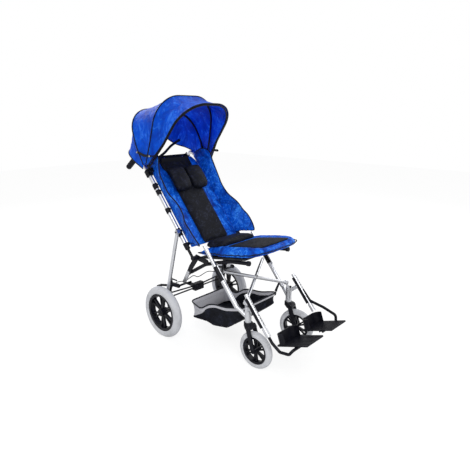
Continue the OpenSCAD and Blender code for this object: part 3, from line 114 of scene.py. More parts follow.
def length(name, text, value, low=0.0, high=1.0):
    return FloatProperty(name=name, description=text, default=value, min=low, max=high, unit="LENGTH")


def colour(name, text, value):
    return FloatVectorProperty(
        name=name, description=text, default=value, size=3, min=0.0, max=1.0, subtype="COLOR"
    )


class ChairSizes(bpy.types.PropertyGroup):
    piping: length("Piping radius", "Radius of the black piping round the cloth", 0.0034)
    cloth: length("Cloth thickness", "Thickness of the hood cloth", 0.0016)
    sag: length("Hood sag", "How far the hood cloth sinks between its bows", 0.008)
    crease: length("Crease height", "Height of the creases in the hood cloth", 0.0022)
    voxel: length("Pad mesh size", "Size of the mesh that the pads are swollen on", 0.0055, 0.003, 0.02)
    webbing: length("Webbing width", "Width of the black straps", 0.020)
    net: length("Net height", "Height of the basket's net band", 0.045)
    steps: IntProperty(name="Swelling steps", description="Steps of the pads' swelling", default=16, min=1, max=40)


class ChairColours(bpy.types.PropertyGroup):
    blue: colour("Blue", "Blue of the cloth", (0.001, 0.105, 0.66))
    # Deep blue is painted shade in the cloth's folds; light blue is a painted highlight on its creases
    blue_painted_shade: colour("Deep blue", "Blue in the folds", (0.0003, 0.030, 0.27))
    blue_painted_highlight: colour("Light blue", "Blue on the creases", (0.045, 0.28, 0.95))
    black_cloth: colour("Black cloth", "Black of the pads and piping", (0.0062, 0.0072, 0.0125))
    black_hard: colour("Black parts", "Black of plastic and painted parts", (0.0060, 0.0062, 0.0100))
    silver: colour("Silver", "Silver of the tubes", (0.68, 0.69, 0.72))
    tyre: colour("Tyre grey", "Light grey of the tyres", (0.60, 0.61, 0.64))
    net: colour("Net grey", "Light grey of the net", (0.60, 0.60, 0.65))


# Points

def place(x, f, z):
    """Point from its side distance, its distance in front of the rear axle and its height."""
    x, f, z = np.broadcast_arrays(*(np.asarray(v, float) for v in (x, f, z)))
    return np.stack([x, AXLE_Y - f, z], -1)


def line(x, s, o):
    """Point from its side distance, its distance up the push tubes and in front of them."""
    s, o = np.asarray(s, float), np.asarray(o, float)
    c, d = math.cos(PUSH_ANGLE), math.sin(PUSH_ANGLE)
    return place(x, FOOT_F - s * c + o * d, FOOT_Z + s * d + o * c)


def unit(v):
    """Vector divided by its own length."""
    return v / np.maximum(np.linalg.norm(v, axis=-1, keepdims=True), 1e-12)


def mix(a, b, t):
    return a + (b - a) * t


def smooth(t):
    """Cubic step, three t squared less two t cubed, held between nought and one."""
    t = np.clip(t, 0, 1)
    return t * t * (3 - 2 * t)


def resample(path, n):
    """n points spaced evenly by distance along a path."""
    d = np.r_[0, np.cumsum(np.linalg.norm(np.diff(path, axis=0), axis=1))]
    t = np.linspace(0, d[-1], n)
    return np.stack([np.interp(t, d, path[:, k]) for k in range(path.shape[1])], -1)


def curve_through(points, n):
    """Cubic curve through points, each piece set by the points on both sides, then n even points."""
    p = np.asarray(points, float)
    p = np.vstack([2 * p[0] - p[1], p, 2 * p[-1] - p[-2]])
    t = np.linspace(0, 1, 24, endpoint=False)[None, :, None]
    a, b, c, d = (p[k:len(p) - 3 + k, None] for k in range(4))
    q = 0.5 * (2 * b + (c - a) * t + (2 * a - 5 * b + 4 * c - d) * t**2 + (3 * b - a - 3 * c + d) * t**3)
    return resample(np.vstack([q.reshape(-1, p.shape[1]), p[-2]]), n)


def rounded(path, radius, steps=12):
    """A path of straight runs whose corners are arcs of one radius, met square at both ends."""
    p = np.asarray(path, float)
    parts = [p[:1]]
    for before, corner, after in zip(p[:-2], p[1:-1], p[2:]):
        u, w = unit(before - corner), unit(after - corner)
        half = math.acos(float(np.clip(u @ w, -1, 1))) / 2
        t = radius / math.tan(half)
        c = corner + unit(u + w) * radius / math.sin(half)
        x = unit(corner + u * t - c)
        y = unit((corner + w * t - c) - x * (x @ (corner + w * t - c)))
        a = np.linspace(0, math.pi - 2 * half, steps)[:, None]
        parts.append(c + radius * (x * np.cos(a) + y * np.sin(a)))
    return np.vstack(parts + [p[-1:]])


def ripple(a, b, seed, count=7, low=1.0, high=6.0):
    """Sum of sine waves over two directions with seeded turns and shifts, between about -1 and 1."""
    r = np.random.default_rng(seed)
    f = r.uniform(low, high, count) * r.choice([-1, 1], count)
    g = r.uniform(low, high, count)
    shift = r.uniform(0, 2 * math.pi, count)
    waves = np.sin(2 * math.pi * (np.multiply.outer(a, f) + np.multiply.outer(b, g)) + shift)
    return waves.sum(-1) / math.sqrt(2 * count)


def normals(grid):
    """Unit normals of a grid from the cross product of its two slopes."""
    return unit(np.cross(np.gradient(grid, axis=0), np.gradient(grid, axis=1)))


def swell(u, v, power=4.0):
    """Pad height over its width and length, one in the middle and nought at the edge."""
    return np.sqrt(np.clip(1 - np.abs(u) ** power, 0, 1) * np.clip(1 - np.abs(v) ** power, 0, 1))


def around(count):
    """Angles spaced evenly round a full turn."""
    return np.linspace(0, 2 * math.pi, count, endpoint=False)


def spans(rows, cols):
    """A column and a row of numbers from -1 to 1, for a grid of rows and cols."""
    return np.linspace(-1, 1, rows)[:, None], np.linspace(-1, 1, cols)[None, :]


# Meshes

def smooth_faces(mesh):
    mesh.polygons.foreach_set("use_smooth", np.ones(len(mesh.polygons), bool))


def add_mesh(name, points, faces):
    mesh = bpy.data.meshes.new(name)
    mesh.from_pydata(np.asarray(points, float).reshape(-1, 3), [], faces)
    smooth_faces(mesh)
    mesh.update()
    piece = bpy.data.objects.new(name, mesh)
    bpy.context.scene.collection.objects.link(piece)
    return piece


def grid_faces(rows, cols, wrap=False):
    """Four-cornered faces between neighbouring rows and columns of a grid."""
    ids = np.arange(rows * cols).reshape(rows, cols)
    if wrap:
        ids = np.hstack([ids, ids[:, :1]])
    return np.stack([ids[:-1, :-1], ids[:-1, 1:], ids[1:, 1:], ids[1:, :-1]], -1).reshape(-1, 4).tolist()


def surface(name, grid, wrap=False, caps=False):
    """A sheet of faces over a grid of points, its ends closed by one face each where asked."""
    rows, cols = grid.shape[:2]
    faces = grid_faces(rows, cols, wrap)
    if caps:
        last = (rows - 1) * cols
        faces += [list(range(cols))[::-1], [last + k for k in range(cols)]]
    return add_mesh(name, grid, faces)


def turn_out(piece):
    """Merges doubled points and points every face of a closed piece outwards."""
    bm = bmesh.new()
    bm.from_mesh(piece.data)
    bmesh.ops.remove_doubles(bm, verts=bm.verts, dist=1e-5)
    bmesh.ops.recalc_face_normals(bm, faces=bm.faces)
    bm.to_mesh(piece.data)
    bm.free()
    smooth_faces(piece.data)
    return piece


def pad(name, front, back):
    """A closed pad between a front and a back grid that share their outline."""
    ring = np.concatenate([front, back[:, ::-1]], 1)
    return turn_out(surface(name, ring, wrap=True, caps=True))


def tube_grid(path, wide, thick=None, sides=10, ref=(1, 0, 0), closed=False, square=1.0):
    """Rings round a path: an oval of half width and half thickness, square to the way of the path.
    Where square is under one the oval fills out towards a bar with round corners."""
    path = np.asarray(path, float)
    thick = wide if thick is None else thick
    if closed:
        way = unit(np.roll(path, -1, 0) - np.roll(path, 1, 0))
    else:
        way = unit(np.gradient(path, axis=0))
    side = unit(np.cross(way, np.broadcast_to(np.asarray(ref, float), way.shape)))
    up = np.cross(side, way)
    a = around(sides)
    c = np.sign(np.cos(a)) * np.abs(np.cos(a)) ** square
    d = np.sign(np.sin(a)) * np.abs(np.sin(a)) ** square
    wide = np.broadcast_to(wide, len(path))[:, None, None]
    thick = np.broadcast_to(thick, len(path))[:, None, None]
    return path[:, None] + c[:, None] * wide * up[:, None] + d[:, None] * thick * side[:, None]


def tube(name, path, wide, thick=None, sides=10, ref=(1, 0, 0), closed=False, square=1.0):
    grid = tube_grid(path, wide, thick, sides, ref, closed, square)
    if closed:
        grid = np.concatenate([grid, grid[:1]])
    return turn_out(surface(name, grid, wrap=True, caps=not closed))


def joined(name, pieces):
    """One mesh from several, which are removed. It has no material yet."""
    points, faces, first = [], [], 0
    for piece in pieces:
        mesh = piece.data
        points.append(coordinates(mesh))
        faces += [[first + k for k in face.vertices] for face in mesh.polygons]
        first += len(mesh.vertices)
        bpy.data.objects.remove(piece)
        bpy.data.meshes.remove(mesh)
    return add_mesh(name, np.vstack(points), faces)


def add_modifier(piece, kind, **values):
    made = piece.modifiers.new(kind.lower(), kind)
    for key, value in values.items():
        setattr(made, key, value)


def finer(piece):
    add_modifier(piece, "SUBSURF", levels=1, render_levels=1)


def walls(piece, thickness):
    add_modifier(piece, "SOLIDIFY", thickness=thickness, offset=0.0)


def coordinates(mesh):
    co = np.empty(len(mesh.vertices) * 3)
    mesh.vertices.foreach_get("co", co)
    return co.reshape(-1, 3)


def bake(piece):
    """Puts the piece's modifiers into its mesh."""
    bpy.context.view_layer.update()
    seen = piece.evaluated_get(bpy.context.evaluated_depsgraph_get())
    mesh = bpy.data.meshes.new_from_object(seen)
    piece.modifiers.clear()
    piece.data = mesh
    smooth_faces(mesh)


def puff(piece, cap, voxel, pressure, keep=None):
    """Swells a closed piece as stuffed cloth. No point moves further than cap, and keep gives the share
    of the swelling at each point."""
    add_modifier(piece, "REMESH", mode="VOXEL", voxel_size=voxel)
    bake(piece)
    rest = coordinates(piece.data)
    scene = bpy.context.scene
    cloth = piece.modifiers.new("stuffing", "CLOTH")
    cloth.settings.use_pressure = True
    cloth.settings.uniform_pressure_force = pressure
    cloth.settings.effector_weights.gravity = 0
    cloth.settings.quality = 4
    steps = scene.chair_sizes.steps
    cloth.point_cache.frame_start, cloth.point_cache.frame_end = 1, steps
    for step in range(1, steps + 1):
        scene.frame_set(step)
    seen = piece.evaluated_get(bpy.context.evaluated_depsgraph_get())
    move = coordinates(seen.data) - rest
    piece.modifiers.clear()
    scene.frame_set(1)
    far = np.linalg.norm(move, axis=1, keepdims=True)
    move *= np.minimum(1, cap / np.maximum(far, 1e-9))
    if keep is not None:
        move *= keep(rest)[:, None]
    rest = rest + move
    piece.data.vertices.foreach_set("co", rest.ravel())
    piece.data.update()


def press(piece, shift):
    """Moves every point of a piece by a function of its place."""
    co = coordinates(piece.data)
    piece.data.vertices.foreach_set("co", (co + shift(co)).ravel())
    piece.data.update()


# Finishes

def group(name, inputs, outputs):
    """A shader node group with named number, colour and vector sockets."""
    made = bpy.data.node_groups.new(name, "ShaderNodeTree")
    kinds = {"n": "NodeSocketFloat", "c": "NodeSocketColor", "v": "NodeSocketVector"}
    for label, kind, value in inputs:
        socket = made.interface.new_socket(label, in_out="INPUT", socket_type=kinds[kind])
        socket.default_value = value
    for label, kind in outputs:
        made.interface.new_socket(label, in_out="OUTPUT", socket_type=kinds[kind])
    return made, made.nodes.new("NodeGroupInput"), made.nodes.new("NodeGroupOutput")


def node(tree, kind, links=(), **values):
    """A node with its values set by name and its inputs linked or set."""
    made = tree.nodes.new("ShaderNode" + kind)
    for key, value in values.items():
        setattr(made, key, value)
    for key, value in dict(links).items():
        if isinstance(value, bpy.types.NodeSocket):
            tree.links.new(value, made.inputs[key])
        else:
            made.inputs[key].default_value = value
    return made


def crinkles_and_painted_light_group():
    """Folds of thin cloth from a warped noise: its height for bump, and its colour with painted shade in the hollows
    and a painted highlight on the ridges.
    """
    # Deep is the colour of the painted shade in the folds, Light that of the painted highlight on their ridges
    g, a, b = group(
        "Cloth crinkles and painted light",
        [("Scale", "n", 14.0), ("Stretch", "v", (1, 1, 1)), ("Deep", "c", (0, 0, 0, 1)),
         ("Base", "c", (0, 0, 0, 1)), ("Light", "c", (0, 0, 0, 1))],
        [("Color", "c"), ("Height", "n")],
    )
    at = node(g, "TexCoord")
    turned = node(g, "VectorMath", {0: at.outputs["Object"], 1: a.outputs["Stretch"]}, operation="MULTIPLY")
    big = node(g, "TexNoise", {"Vector": turned.outputs[0], "Scale": a.outputs["Scale"], "Detail": 5.0,
                               "Roughness": 0.62, "Distortion": 1.4})
    fine_scale = node(g, "Math", {0: a.outputs["Scale"], 1: 3.1}, operation="MULTIPLY")
    small = node(g, "TexNoise", {"Vector": turned.outputs[0], "Scale": fine_scale.outputs[0], "Detail": 3.0,
                                 "Distortion": 2.2})
    # Mask of the painted shade: the deep colour where the large noise is low, in the hollows of the folds
    painted_shade_mask = node(g, "MapRange", {"Value": big.outputs["Fac"], "From Min": 0.36, "From Max": 0.56})
    first = node(g, "Mix", {0: painted_shade_mask.outputs[0], 6: a.outputs["Deep"], 7: a.outputs["Base"]}, data_type="RGBA")
    both = node(g, "Math", {0: big.outputs["Fac"], 1: small.outputs["Fac"]}, operation="ADD")
    # Mask of the painted highlight: the light colour where both noises are high, on the ridges of the folds
    pale = node(g, "MapRange", {"Value": both.outputs[0], "From Min": 1.04, "From Max": 1.28})
    last = node(g, "Mix", {0: pale.outputs[0], 6: first.outputs[2], 7: a.outputs["Light"]}, data_type="RGBA")
    half = node(g, "Math", {0: small.outputs["Fac"], 1: 0.35, 2: big.outputs["Fac"]}, operation="MULTIPLY_ADD")
    g.links.new(last.outputs[2], b.inputs["Color"])
    g.links.new(half.outputs[0], b.inputs["Height"])
    return g


def weave_group():
    """Crossed threads: two sine waves a thread apart, across and along the piece."""
    g, a, b = group("Weave", [("Threads per metre", "n", 900.0)], [("Height", "n")])
    at = node(g, "TexCoord")
    parts = node(g, "SeparateXYZ", {0: at.outputs["Object"]})
    heights = []
    for first, second in ((0, 2), (1, 2)):
        total = node(g, "Math", {0: parts.outputs[first], 1: parts.outputs[second]},
                     operation="ADD" if first else "SUBTRACT")
        turns = node(g, "Math", {0: total.outputs[0], 1: a.outputs[0]}, operation="MULTIPLY")
        wave = node(g, "Math", {0: turns.outputs[0]}, operation="SINE")
        heights.append(wave.outputs[0])
    both = node(g, "Math", {0: heights[0], 1: heights[1]}, operation="MULTIPLY")
    g.links.new(both.outputs[0], b.inputs["Height"])
    return g


def wear_group():
    """Use and dust: soft spots in the colour and a change of gloss, from two noises."""
    g, a, b = group(
        "Wear", [("Base", "c", (0, 0, 0, 1)), ("Worn", "c", (0, 0, 0, 1)), ("Scale", "n", 30.0),
                 ("Gloss", "n", 0.4), ("Change", "n", 0.1)],
        [("Color", "c"), ("Roughness", "n"), ("Height", "n")],
    )
    at = node(g, "TexCoord")
    spots = node(g, "TexNoise", {"Vector": at.outputs["Object"], "Scale": a.outputs["Scale"], "Detail": 6.0})
    mask = node(g, "MapRange", {"Value": spots.outputs["Fac"], "From Min": 0.52, "From Max": 0.78})
    paint = node(g, "Mix", {0: mask.outputs[0], 6: a.outputs["Base"], 7: a.outputs["Worn"]}, data_type="RGBA")
    gloss = node(g, "Math", {0: spots.outputs["Fac"], 1: a.outputs["Change"], 2: a.outputs["Gloss"]},
                 operation="MULTIPLY_ADD")
    grain_scale = node(g, "Math", {0: a.outputs["Scale"], 1: 18.0}, operation="MULTIPLY")
    grain = node(g, "TexNoise", {"Vector": at.outputs["Object"], "Scale": grain_scale.outputs[0]})
    g.links.new(paint.outputs[2], b.inputs["Color"])
    g.links.new(gloss.outputs[0], b.inputs["Roughness"])
    g.links.new(grain.outputs["Fac"], b.inputs["Height"])
    return g


def material(name, **fixed):
    """An empty finish with one Principled shader and its fixed values."""
    made = bpy.data.materials.new("finish_" + name)
    made.use_nodes = True
    tree = made.node_tree
    shader = tree.nodes["Principled BSDF"]
    for key, value in fixed.items():
        shader.inputs[key.replace("_", " ")].default_value = value
    return made, tree, shader


def placed(tree, made_group, **values):
    used = tree.nodes.new("ShaderNodeGroup")
    used.node_tree = made_group
    for key, value in values.items():
        used.inputs[key.replace("_", " ")].default_value = value
    return used


def bumped(tree, shader, heights):
    """Bump nodes in a row, each with its height, strength and depth."""
    last = None
    for height, strength, depth in heights:
        links = {"Height": height, "Strength": strength, "Distance": depth}
        if last:
            links["Normal"] = last
        last = node(tree, "Bump", links).outputs[0]
    tree.links.new(last, shader.inputs["Normal"])


def rgba(value, scale=1.0):
    return (*[min(1.0, v * scale) for v in value], 1.0)


def cloth_finish(name, crinkles, weave, deep, base, light, scale=14.0, stretch=(1, 1, 1), bump=0.55,
                 depth=0.004, gloss=0.5, sheen=0.01, through=0.0, shine=0.12):
    _, tree, shader = material(name, Roughness=gloss, Sheen_Weight=sheen, Sheen_Roughness=0.4,
                               Specular_IOR_Level=shine)
    # The folds take the deep colour in their hollows as painted shade and the light colour on their ridges as a
    # painted highlight
    folds = placed(tree, crinkles, Scale=scale, Stretch=stretch, Deep=rgba(deep), Base=rgba(base), Light=rgba(light))
    threads = placed(tree, weave)
    tree.links.new(folds.outputs["Color"], shader.inputs["Base Color"])
    bumped(tree, shader, [(threads.outputs["Height"], 0.25, 0.0003), (folds.outputs["Height"], bump, depth)])
    if through:
        thin = node(tree, "BsdfTranslucent", {"Color": folds.outputs["Color"]})
        both = node(tree, "MixShader", {0: through, 1: shader.outputs[0], 2: thin.outputs[0]})
        tree.links.new(both.outputs[0], tree.nodes["Material Output"].inputs["Surface"])


def hard_finish(name, wear, base, worn, scale=30.0, gloss=0.35, change=0.12, metal=0.0, bump=0.15, depth=0.0003):
    _, tree, shader = material(name, Metallic=metal, Specular_IOR_Level=0.5 if metal else 0.16)
    used = placed(tree, wear, Base=rgba(base), Worn=rgba(worn), Scale=scale, Gloss=gloss, Change=change)
    tree.links.new(used.outputs["Color"], shader.inputs["Base Color"])
    tree.links.new(used.outputs["Roughness"], shader.inputs["Roughness"])
    bumped(tree, shader, [(used.outputs["Height"], bump, depth)])


def net_finish(name, base):
    """Knitted net: round cells in a darker grey, pressed in by bump. It has no holes."""
    _, tree, shader = material(name, Roughness=0.7, Sheen_Weight=0.2)
    at = node(tree, "TexCoord")
    cells = node(tree, "TexVoronoi", {"Vector": at.outputs["Object"], "Scale": 190.0, "Randomness": 0.25})
    hole = node(tree, "MapRange", {"Value": cells.outputs["Distance"], "From Min": 0.22, "From Max": 0.34})
    shade = node(tree, "Mix", {0: hole.outputs[0], 6: rgba(base, 0.45), 7: rgba(base)}, data_type="RGBA")
    tree.links.new(shade.outputs[2], shader.inputs["Base Color"])
    bumped(tree, shader, [(hole.outputs[0], 0.5, 0.0008)])


def finishes():
    """Every finish of the push chair. The CAD brings finishes of the same names, so these have a prefix."""
    c = bpy.context.scene.chair_colours
    crinkles, weave, wear = crinkles_and_painted_light_group(), weave_group(), wear_group()

    def times(value, scale):
        return [v * scale for v in value]

    black = c.black_cloth
    # Each cloth gets a darker copy of its colour as painted shade in its folds and a lighter copy as a painted
    # highlight on its creases
    cloth_finish("hood_blue", crinkles, weave, times(c.blue_painted_shade, 2.2), times(c.blue, 1.25),
                 times(c.blue_painted_highlight, 1.05), scale=8.0, stretch=(1.5, 1.0, 0.5), bump=0.7, depth=0.008,
                 gloss=0.38, through=0.45, shine=0.16)
    cloth_finish("blue_cloth", crinkles, weave, c.blue_painted_shade, c.blue, c.blue_painted_highlight, scale=13.0,
                 stretch=(1, 1, 0.7), bump=0.6, depth=0.006, gloss=0.5)
    cloth_finish("black_cloth", crinkles, weave, times(black, 0.6), black, times(black, 3.2), scale=16.0,
                 bump=0.35, depth=0.003, gloss=0.62)
    cloth_finish("piping", crinkles, weave, black, black, times(black, 2), scale=60.0, bump=0.2, depth=0.001,
                 gloss=0.55)
    net_finish("grey_cloth", c.net)
    hard = c.black_hard
    # Name, colour and worn colour, then scale, gloss, its change, metal, bump and depth
    for name, base, worn, *rest in (
        ("silver_tube", c.silver, times(c.silver, 0.86), 22.0, 0.30, 0.16, 1.0, 0.08),
        ("steel", (0.62, 0.62, 0.63), (0.45, 0.45, 0.46), 60.0, 0.2, 0.2, 1.0, 0.1),
        ("black_metal", hard, times(hard, 2.4), 35.0, 0.24, 0.2, 0.0, 0.12),
        ("black_plastic", hard, times(hard, 2.0), 45.0, 0.3, 0.2, 0.0, 0.35, 0.0004),
        ("tyre_grey", c.tyre, times(c.tyre, 0.72), 18.0, 0.55, 0.2, 0.0, 0.3, 0.0006),
        ("grip_rubber", hard, times(hard, 2.2), 90.0, 0.6, 0.2, 0.0, 0.8, 0.0008),
        ("seat_ply", (0.02, 0.02, 0.022), (0.05, 0.05, 0.05), 30.0, 0.5),
        ("wheel_black", hard, times(hard, 2.6), 40.0, 0.2, 0.18),
    ):
        hard_finish(name, wear, base, worn, *rest)


def wear_finish(piece, name):
    piece.data.materials.clear()
    piece.data.materials.append(bpy.data.materials["finish_" + name])


def set_up(piece, finish, body=None, replaces=()):
    """Gives a new piece its finish, the nodes it stands for and the body it rides on."""
    wear_finish(piece, finish)
    if replaces:
        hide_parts(*replaces)
    if body:
        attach(piece, body)


def trim(piece, body):
    """Sets up a piece of black piping or webbing."""
    set_up(piece, "piping", body)


# Hood

def bow_curve(bow, grow, count=61):
    """A bow's line: legs spread from the pivot, then drawn in, corners round, and evenly spaced."""
    angle, reach, wide = BOWS[bow]
    flat = np.array([
        [-CLOTH_X, reach * CLOTH_FOOT], [-wide - grow, reach * KNEE_SHARE],
        [-wide * TOP_SHARE - grow, reach + grow], [wide * TOP_SHARE + grow, reach + grow],
        [wide + grow, reach * KNEE_SHARE], [CLOTH_X, reach * CLOTH_FOOT],
    ])
    path = resample(rounded(flat, BEND[bow]), count)
    a = math.radians(angle)
    return place(path[:, 0], HOOD_F + path[:, 1] * math.cos(a), HOOD_Z + path[:, 1] * math.sin(a))


def hem_lift(x):
    """Share of the way to the rear bow that the hem rises at each side distance."""
    return HEM_LIFT * (1 - smooth(np.abs(x) / HEM_HALF))


def gore(name, low, high, seed, sag, crease):
    """Cloth between two bows: straight from bow to bow, sunk as half a sine between them, creased by
    waves that die out at the bows."""
    rows = 26
    a, b = bow_curve(low, CLOTH_GROW), bow_curve(high, CLOTH_GROW)
    t = np.linspace(0, 1, rows)[:, None, None]
    lift = hem_lift(a[:, 0])[None, :, None] if low == "hem" else 0
    t = lift + (1 - lift) * t
    grid = a * (1 - t) + b * t
    area = float(np.linalg.norm(np.cross(
        grid[1:, :-1] - grid[:-1, :-1], grid[:-1, 1:] - grid[:-1, :-1]), axis=-1).sum())
    out = normals(grid)
    centre = place(0, HOOD_F, HOOD_Z)
    out *= np.sign(((grid - centre) * out).sum(-1, keepdims=True))
    s = np.linspace(0, 1, rows)[:, None]
    w = np.linspace(0, 1, grid.shape[1])[None, :]
    ends = np.sin(math.pi * s) ** 0.7
    body = smooth(np.minimum(w, 1 - w) / 0.12)
    waves = 0.6 * ripple(s * 0.5, w * 7, seed) + 0.5 * ripple(s * 2, w * 3, seed + 1)
    pull = np.sin(w * math.pi * 22 + 3 * s) * np.exp(-np.minimum(s, 1 - s) / 0.12)
    move = ends * body * (crease * waves - sag) + crease * 0.35 * pull * ends * body
    grid = grid + out * move[..., None]
    piece = surface(name, grid)
    wide = float(np.linalg.norm(np.diff(b, axis=0), axis=1).sum())
    deep = float(np.linalg.norm(a - b, axis=1).max())
    return piece, (max(wide, area / deep), deep), area


def along_bow(name, bow, radius, grow, body):
    """Piping along a bow's line, or along the lifted line of the hem."""
    path = bow_curve(bow, grow, 121)
    if bow == "hem":
        path = mix(path, bow_curve("rear", grow, 121), hem_lift(path[:, :1]))
    piece = tube(name, path, radius, sides=8, ref=(0.02, 0.05, 1.0) if bow == "hem" else (0.01, 1.0, 0.02))
    trim(piece, body)


class MakeHood(bpy.types.Operator):
    """Cloth of the hood in three gores over its bows, with black piping along each bow and edge"""

    bl_idname = "chair.make_hood"
    bl_label = "Hood"

    def execute(self, context):
        sizes = context.scene.chair_sizes
        rows = (
            ("hood_cloth_rear", "hem", "rear", "hood_panel_rear", "back_frame", "hood_rear", 0.100),
            ("hood_cloth_mid", "rear", "mid", "hood_panel_mid", "hood_rear", "hood_mid", 0.045),
            ("hood_cloth_front", "mid", "front", "hood_panel_front", "hood_mid", "hood_front", 0.033),
        )
        for seed, (name, low, high, node_name, body_a, body_b, half) in enumerate(rows):
            piece, flat, area = gore(name, low, high, 11 + 5 * seed, sizes.sag, sizes.crease)
            walls(piece, sizes.cloth)
            bake(piece)
            set_up(piece, "hood_blue", None, [node_name])
            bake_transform(piece)
        for bow in ("rear", "mid", "front"):
            along_bow("piping_bow_" + bow, bow, sizes.piping, CLOTH_GROW + 0.001, "hood_" + bow)
        along_bow("piping_hem", "hem", sizes.piping, CLOTH_GROW, "back_frame")
        return {"FINISHED"}


# Back

def wing_point(row, t, side):
    """A wing's surface: out from the back's edge along a curve that bends away from the child."""
    x = mix(WING_ROOT, row[..., 3] * LEG_X, np.power(t, 1.3))
    s = mix(row[..., 0], row[..., 1], t) * BACK_LEN
    return line(side * x, s, mix(BACK_OFF, row[..., 2] * WING_REACH, t))


class MakeWings(bpy.types.Operator):
    """Padded side wings of the back with piping along their edges"""

    bl_idname = "chair.make_wings"
    bl_label = "Side wings"

    def execute(self, context):
        sizes = context.scene.chair_sizes
        for side, word in ((1, "left"), (-1, "right")):
            rows, cols = 90, 22
            row = curve_through(WING_SHARES, rows)[:, None]
            t = np.linspace(0, 1, cols)[None, :]
            grid = wing_point(row, t, side)
            out = normals(grid)
            out *= np.sign(out[..., :1]) * side
            s = np.linspace(0, 1, rows)[:, None]
            soft = np.sin(math.pi * np.clip(t, 0, 1)) ** 0.6 * np.sin(math.pi * s) ** 0.3
            waves = ripple(s * 5, t * 1.2, 40 + side) * 0.0032 + ripple(s * 11, t * 2.5, 50 + side) * 0.0013
            grid = grid + out * (waves * soft)[..., None]
            half = (0.0012 + 0.0028 * soft)[..., None]
            piece = pad("wing_" + word, grid + out * half, grid - out * half)
            nodes = ["side_wings"] if side > 0 else []
            set_up(piece, "blue_cloth", "back_frame", nodes)
            edge = wing_point(curve_through(WING_SHARES, 220), np.ones(220), side)
            pipe = tube("wing_piping_" + word, edge, sizes.piping, sides=8, ref=(1, 0.1, 0))
            trim(pipe, "back_frame")
        return {"FINISHED"}


def back_half(s):
    """Half width of the back, even up to its shoulders and then drawn in as a square."""
    shoulder = BACK_LEN * 0.9
    return BACK_HALF * (1 - 0.14 * np.clip((s - shoulder) / (BACK_LEN - shoulder), 0, 1) ** 2)


class MakeBack(bpy.types.Operator):
    """Blue back, its black liner with a bound edge, and the two black bolster pads"""

    bl_idname = "chair.make_back"
    bl_label = "Back, liner and bolsters"

    def execute(self, context):
        sizes = context.scene.chair_sizes
        rows, cols = 60, 40
        s = np.linspace(0.062, BACK_LEN, rows)[:, None]
        v, u = spans(rows, cols)
        height = swell(u, v)
        waves = ripple(s * 7, u * 2, 3) * 0.0012 * height
        front = line(u * back_half(s), s, BACK_OFF + BACK_T * (0.4 + 0.6 * height) + waves)
        rear = line(u * back_half(s), s, BACK_OFF + 0.0 * height)
        piece = pad("back_cloth", front, rear)
        set_up(piece, "blue_cloth", "back_frame", ["back_panel"])
        self.liner()
        self.bolsters(sizes)
        return {"FINISHED"}

    def liner(self):
        """Black liner: even in width up to the bolsters, then wider to the black head of the back."""
        rows, cols = 90, 30
        slim, widening, neck = 0.091, 0.020, 0.545
        k = np.linspace(0, 1, rows)[:, None]
        s = mix(0.066, 0.650, k)
        u = np.linspace(-1, 1, cols)[None, :]
        wide = slim + widening * smooth((s - 0.520) / 0.060)
        foot = np.sqrt(np.clip(1 - (1 - k / 0.03) ** 2, 0, 1)) * (k < 0.03) + (k >= 0.03)
        wide = wide * (0.9 + 0.1 * foot)
        head = smooth((s - neck) / 0.03)
        height = swell(u, 2 * k - 1, 6.0)
        tall = mix(0.0235 * (0.35 + 0.65 * height), 0.0075 * (0.5 + 0.5 * height), head)
        tall = tall + ripple(k * 9, u * 1.5, 8) * 0.0008 * height
        tall = tall - 0.003 * np.exp(-((s - 0.556) / 0.006) ** 2)
        base = BACK_OFF + BACK_T + 0.0006
        piece = pad("back_liner_pad", line(u * wide, s, base + tall), line(u * wide, s, base + 0 * tall))
        set_up(piece, "black_cloth", "back_frame", ["back_liner", "top_band"])
        w = wide[:, 0]
        o = base + 0.004
        sides = np.vstack([line(-w, s[:, 0], o)[::-1], line(w, s[:, 0], o)])
        loop = resample(np.vstack([sides, line(0 * w[-1:], s[-1:, 0], o), sides[:1]]), 260)[:-1]
        band = tube("liner_binding", loop, 0.0045, 0.0032, 8, (0, -math.sin(PUSH_ANGLE), math.cos(PUSH_ANGLE)), True)
        trim(band, "back_frame")
        flap = line(np.linspace(-0.104, 0.104, 50), 0.612, base + 0.0115)
        strip = tube("head_strip", flap, 0.016, 0.0016, 12, (0, 0, 1), square=0.35)
        trim(strip, "back_frame")

    def bolsters(self, sizes):
        """Two upright pads with flat tops and round feet: a super-ellipse outline with a full crown."""
        rows, cols = 40, 36
        low, high, middle, wide, crown, base = 0.386, 0.540, 0.0655, 0.061, 0.036, 0.0450
        v, u = spans(rows, cols)
        for side in (1, -1):
            foot = np.where(v < 0, np.clip(1 - np.abs(v) ** 3.4, 0, 1) ** (1 / 3.4), 1 - 0.04 * v**2)
            half = wide * np.maximum(foot, 0.04)
            s = mix(low, high, (v + 1) / 2) + 0 * u
            ends = np.where(v < 0, np.abs(v) ** 5, np.abs(v) ** 14)
            height = np.sqrt(np.clip(1 - np.abs(u) ** 2.8, 0, 1)) * np.sqrt(np.clip(1 - ends, 0, 1))
            x = side * (middle + u * half)
            front, rear = line(x, s, base + 0.006 + crown * height), line(x, s, base + 0.002 + 0 * height)
            piece = pad("bolster_" + ("left" if side > 0 else "right"), front, rear)
            puff(piece, 0.006, sizes.voxel, 5.0)
            finer(piece)
            set_up(piece, "black_cloth", "back_frame", ["bolster_pads"] if side > 0 else [])


# Seat

def seat_edge(f):
    return SEAT_REAR_Z + SEAT_RISE * (f - SEAT_REAR) / (SEAT_FRONT - SEAT_REAR)


def seat_half(v):
    """Half width of the seat: between the legs at its rear, then full, then round front corners."""
    t = smooth((v + 0.42) / 0.25)
    front = np.sqrt(np.clip(1 - np.clip((v - 0.45) / 0.58, 0, 1) ** 3.2, 0, 1))
    return mix(0.1825, 0.201, t) * np.where(v > 0.45, front, 1)


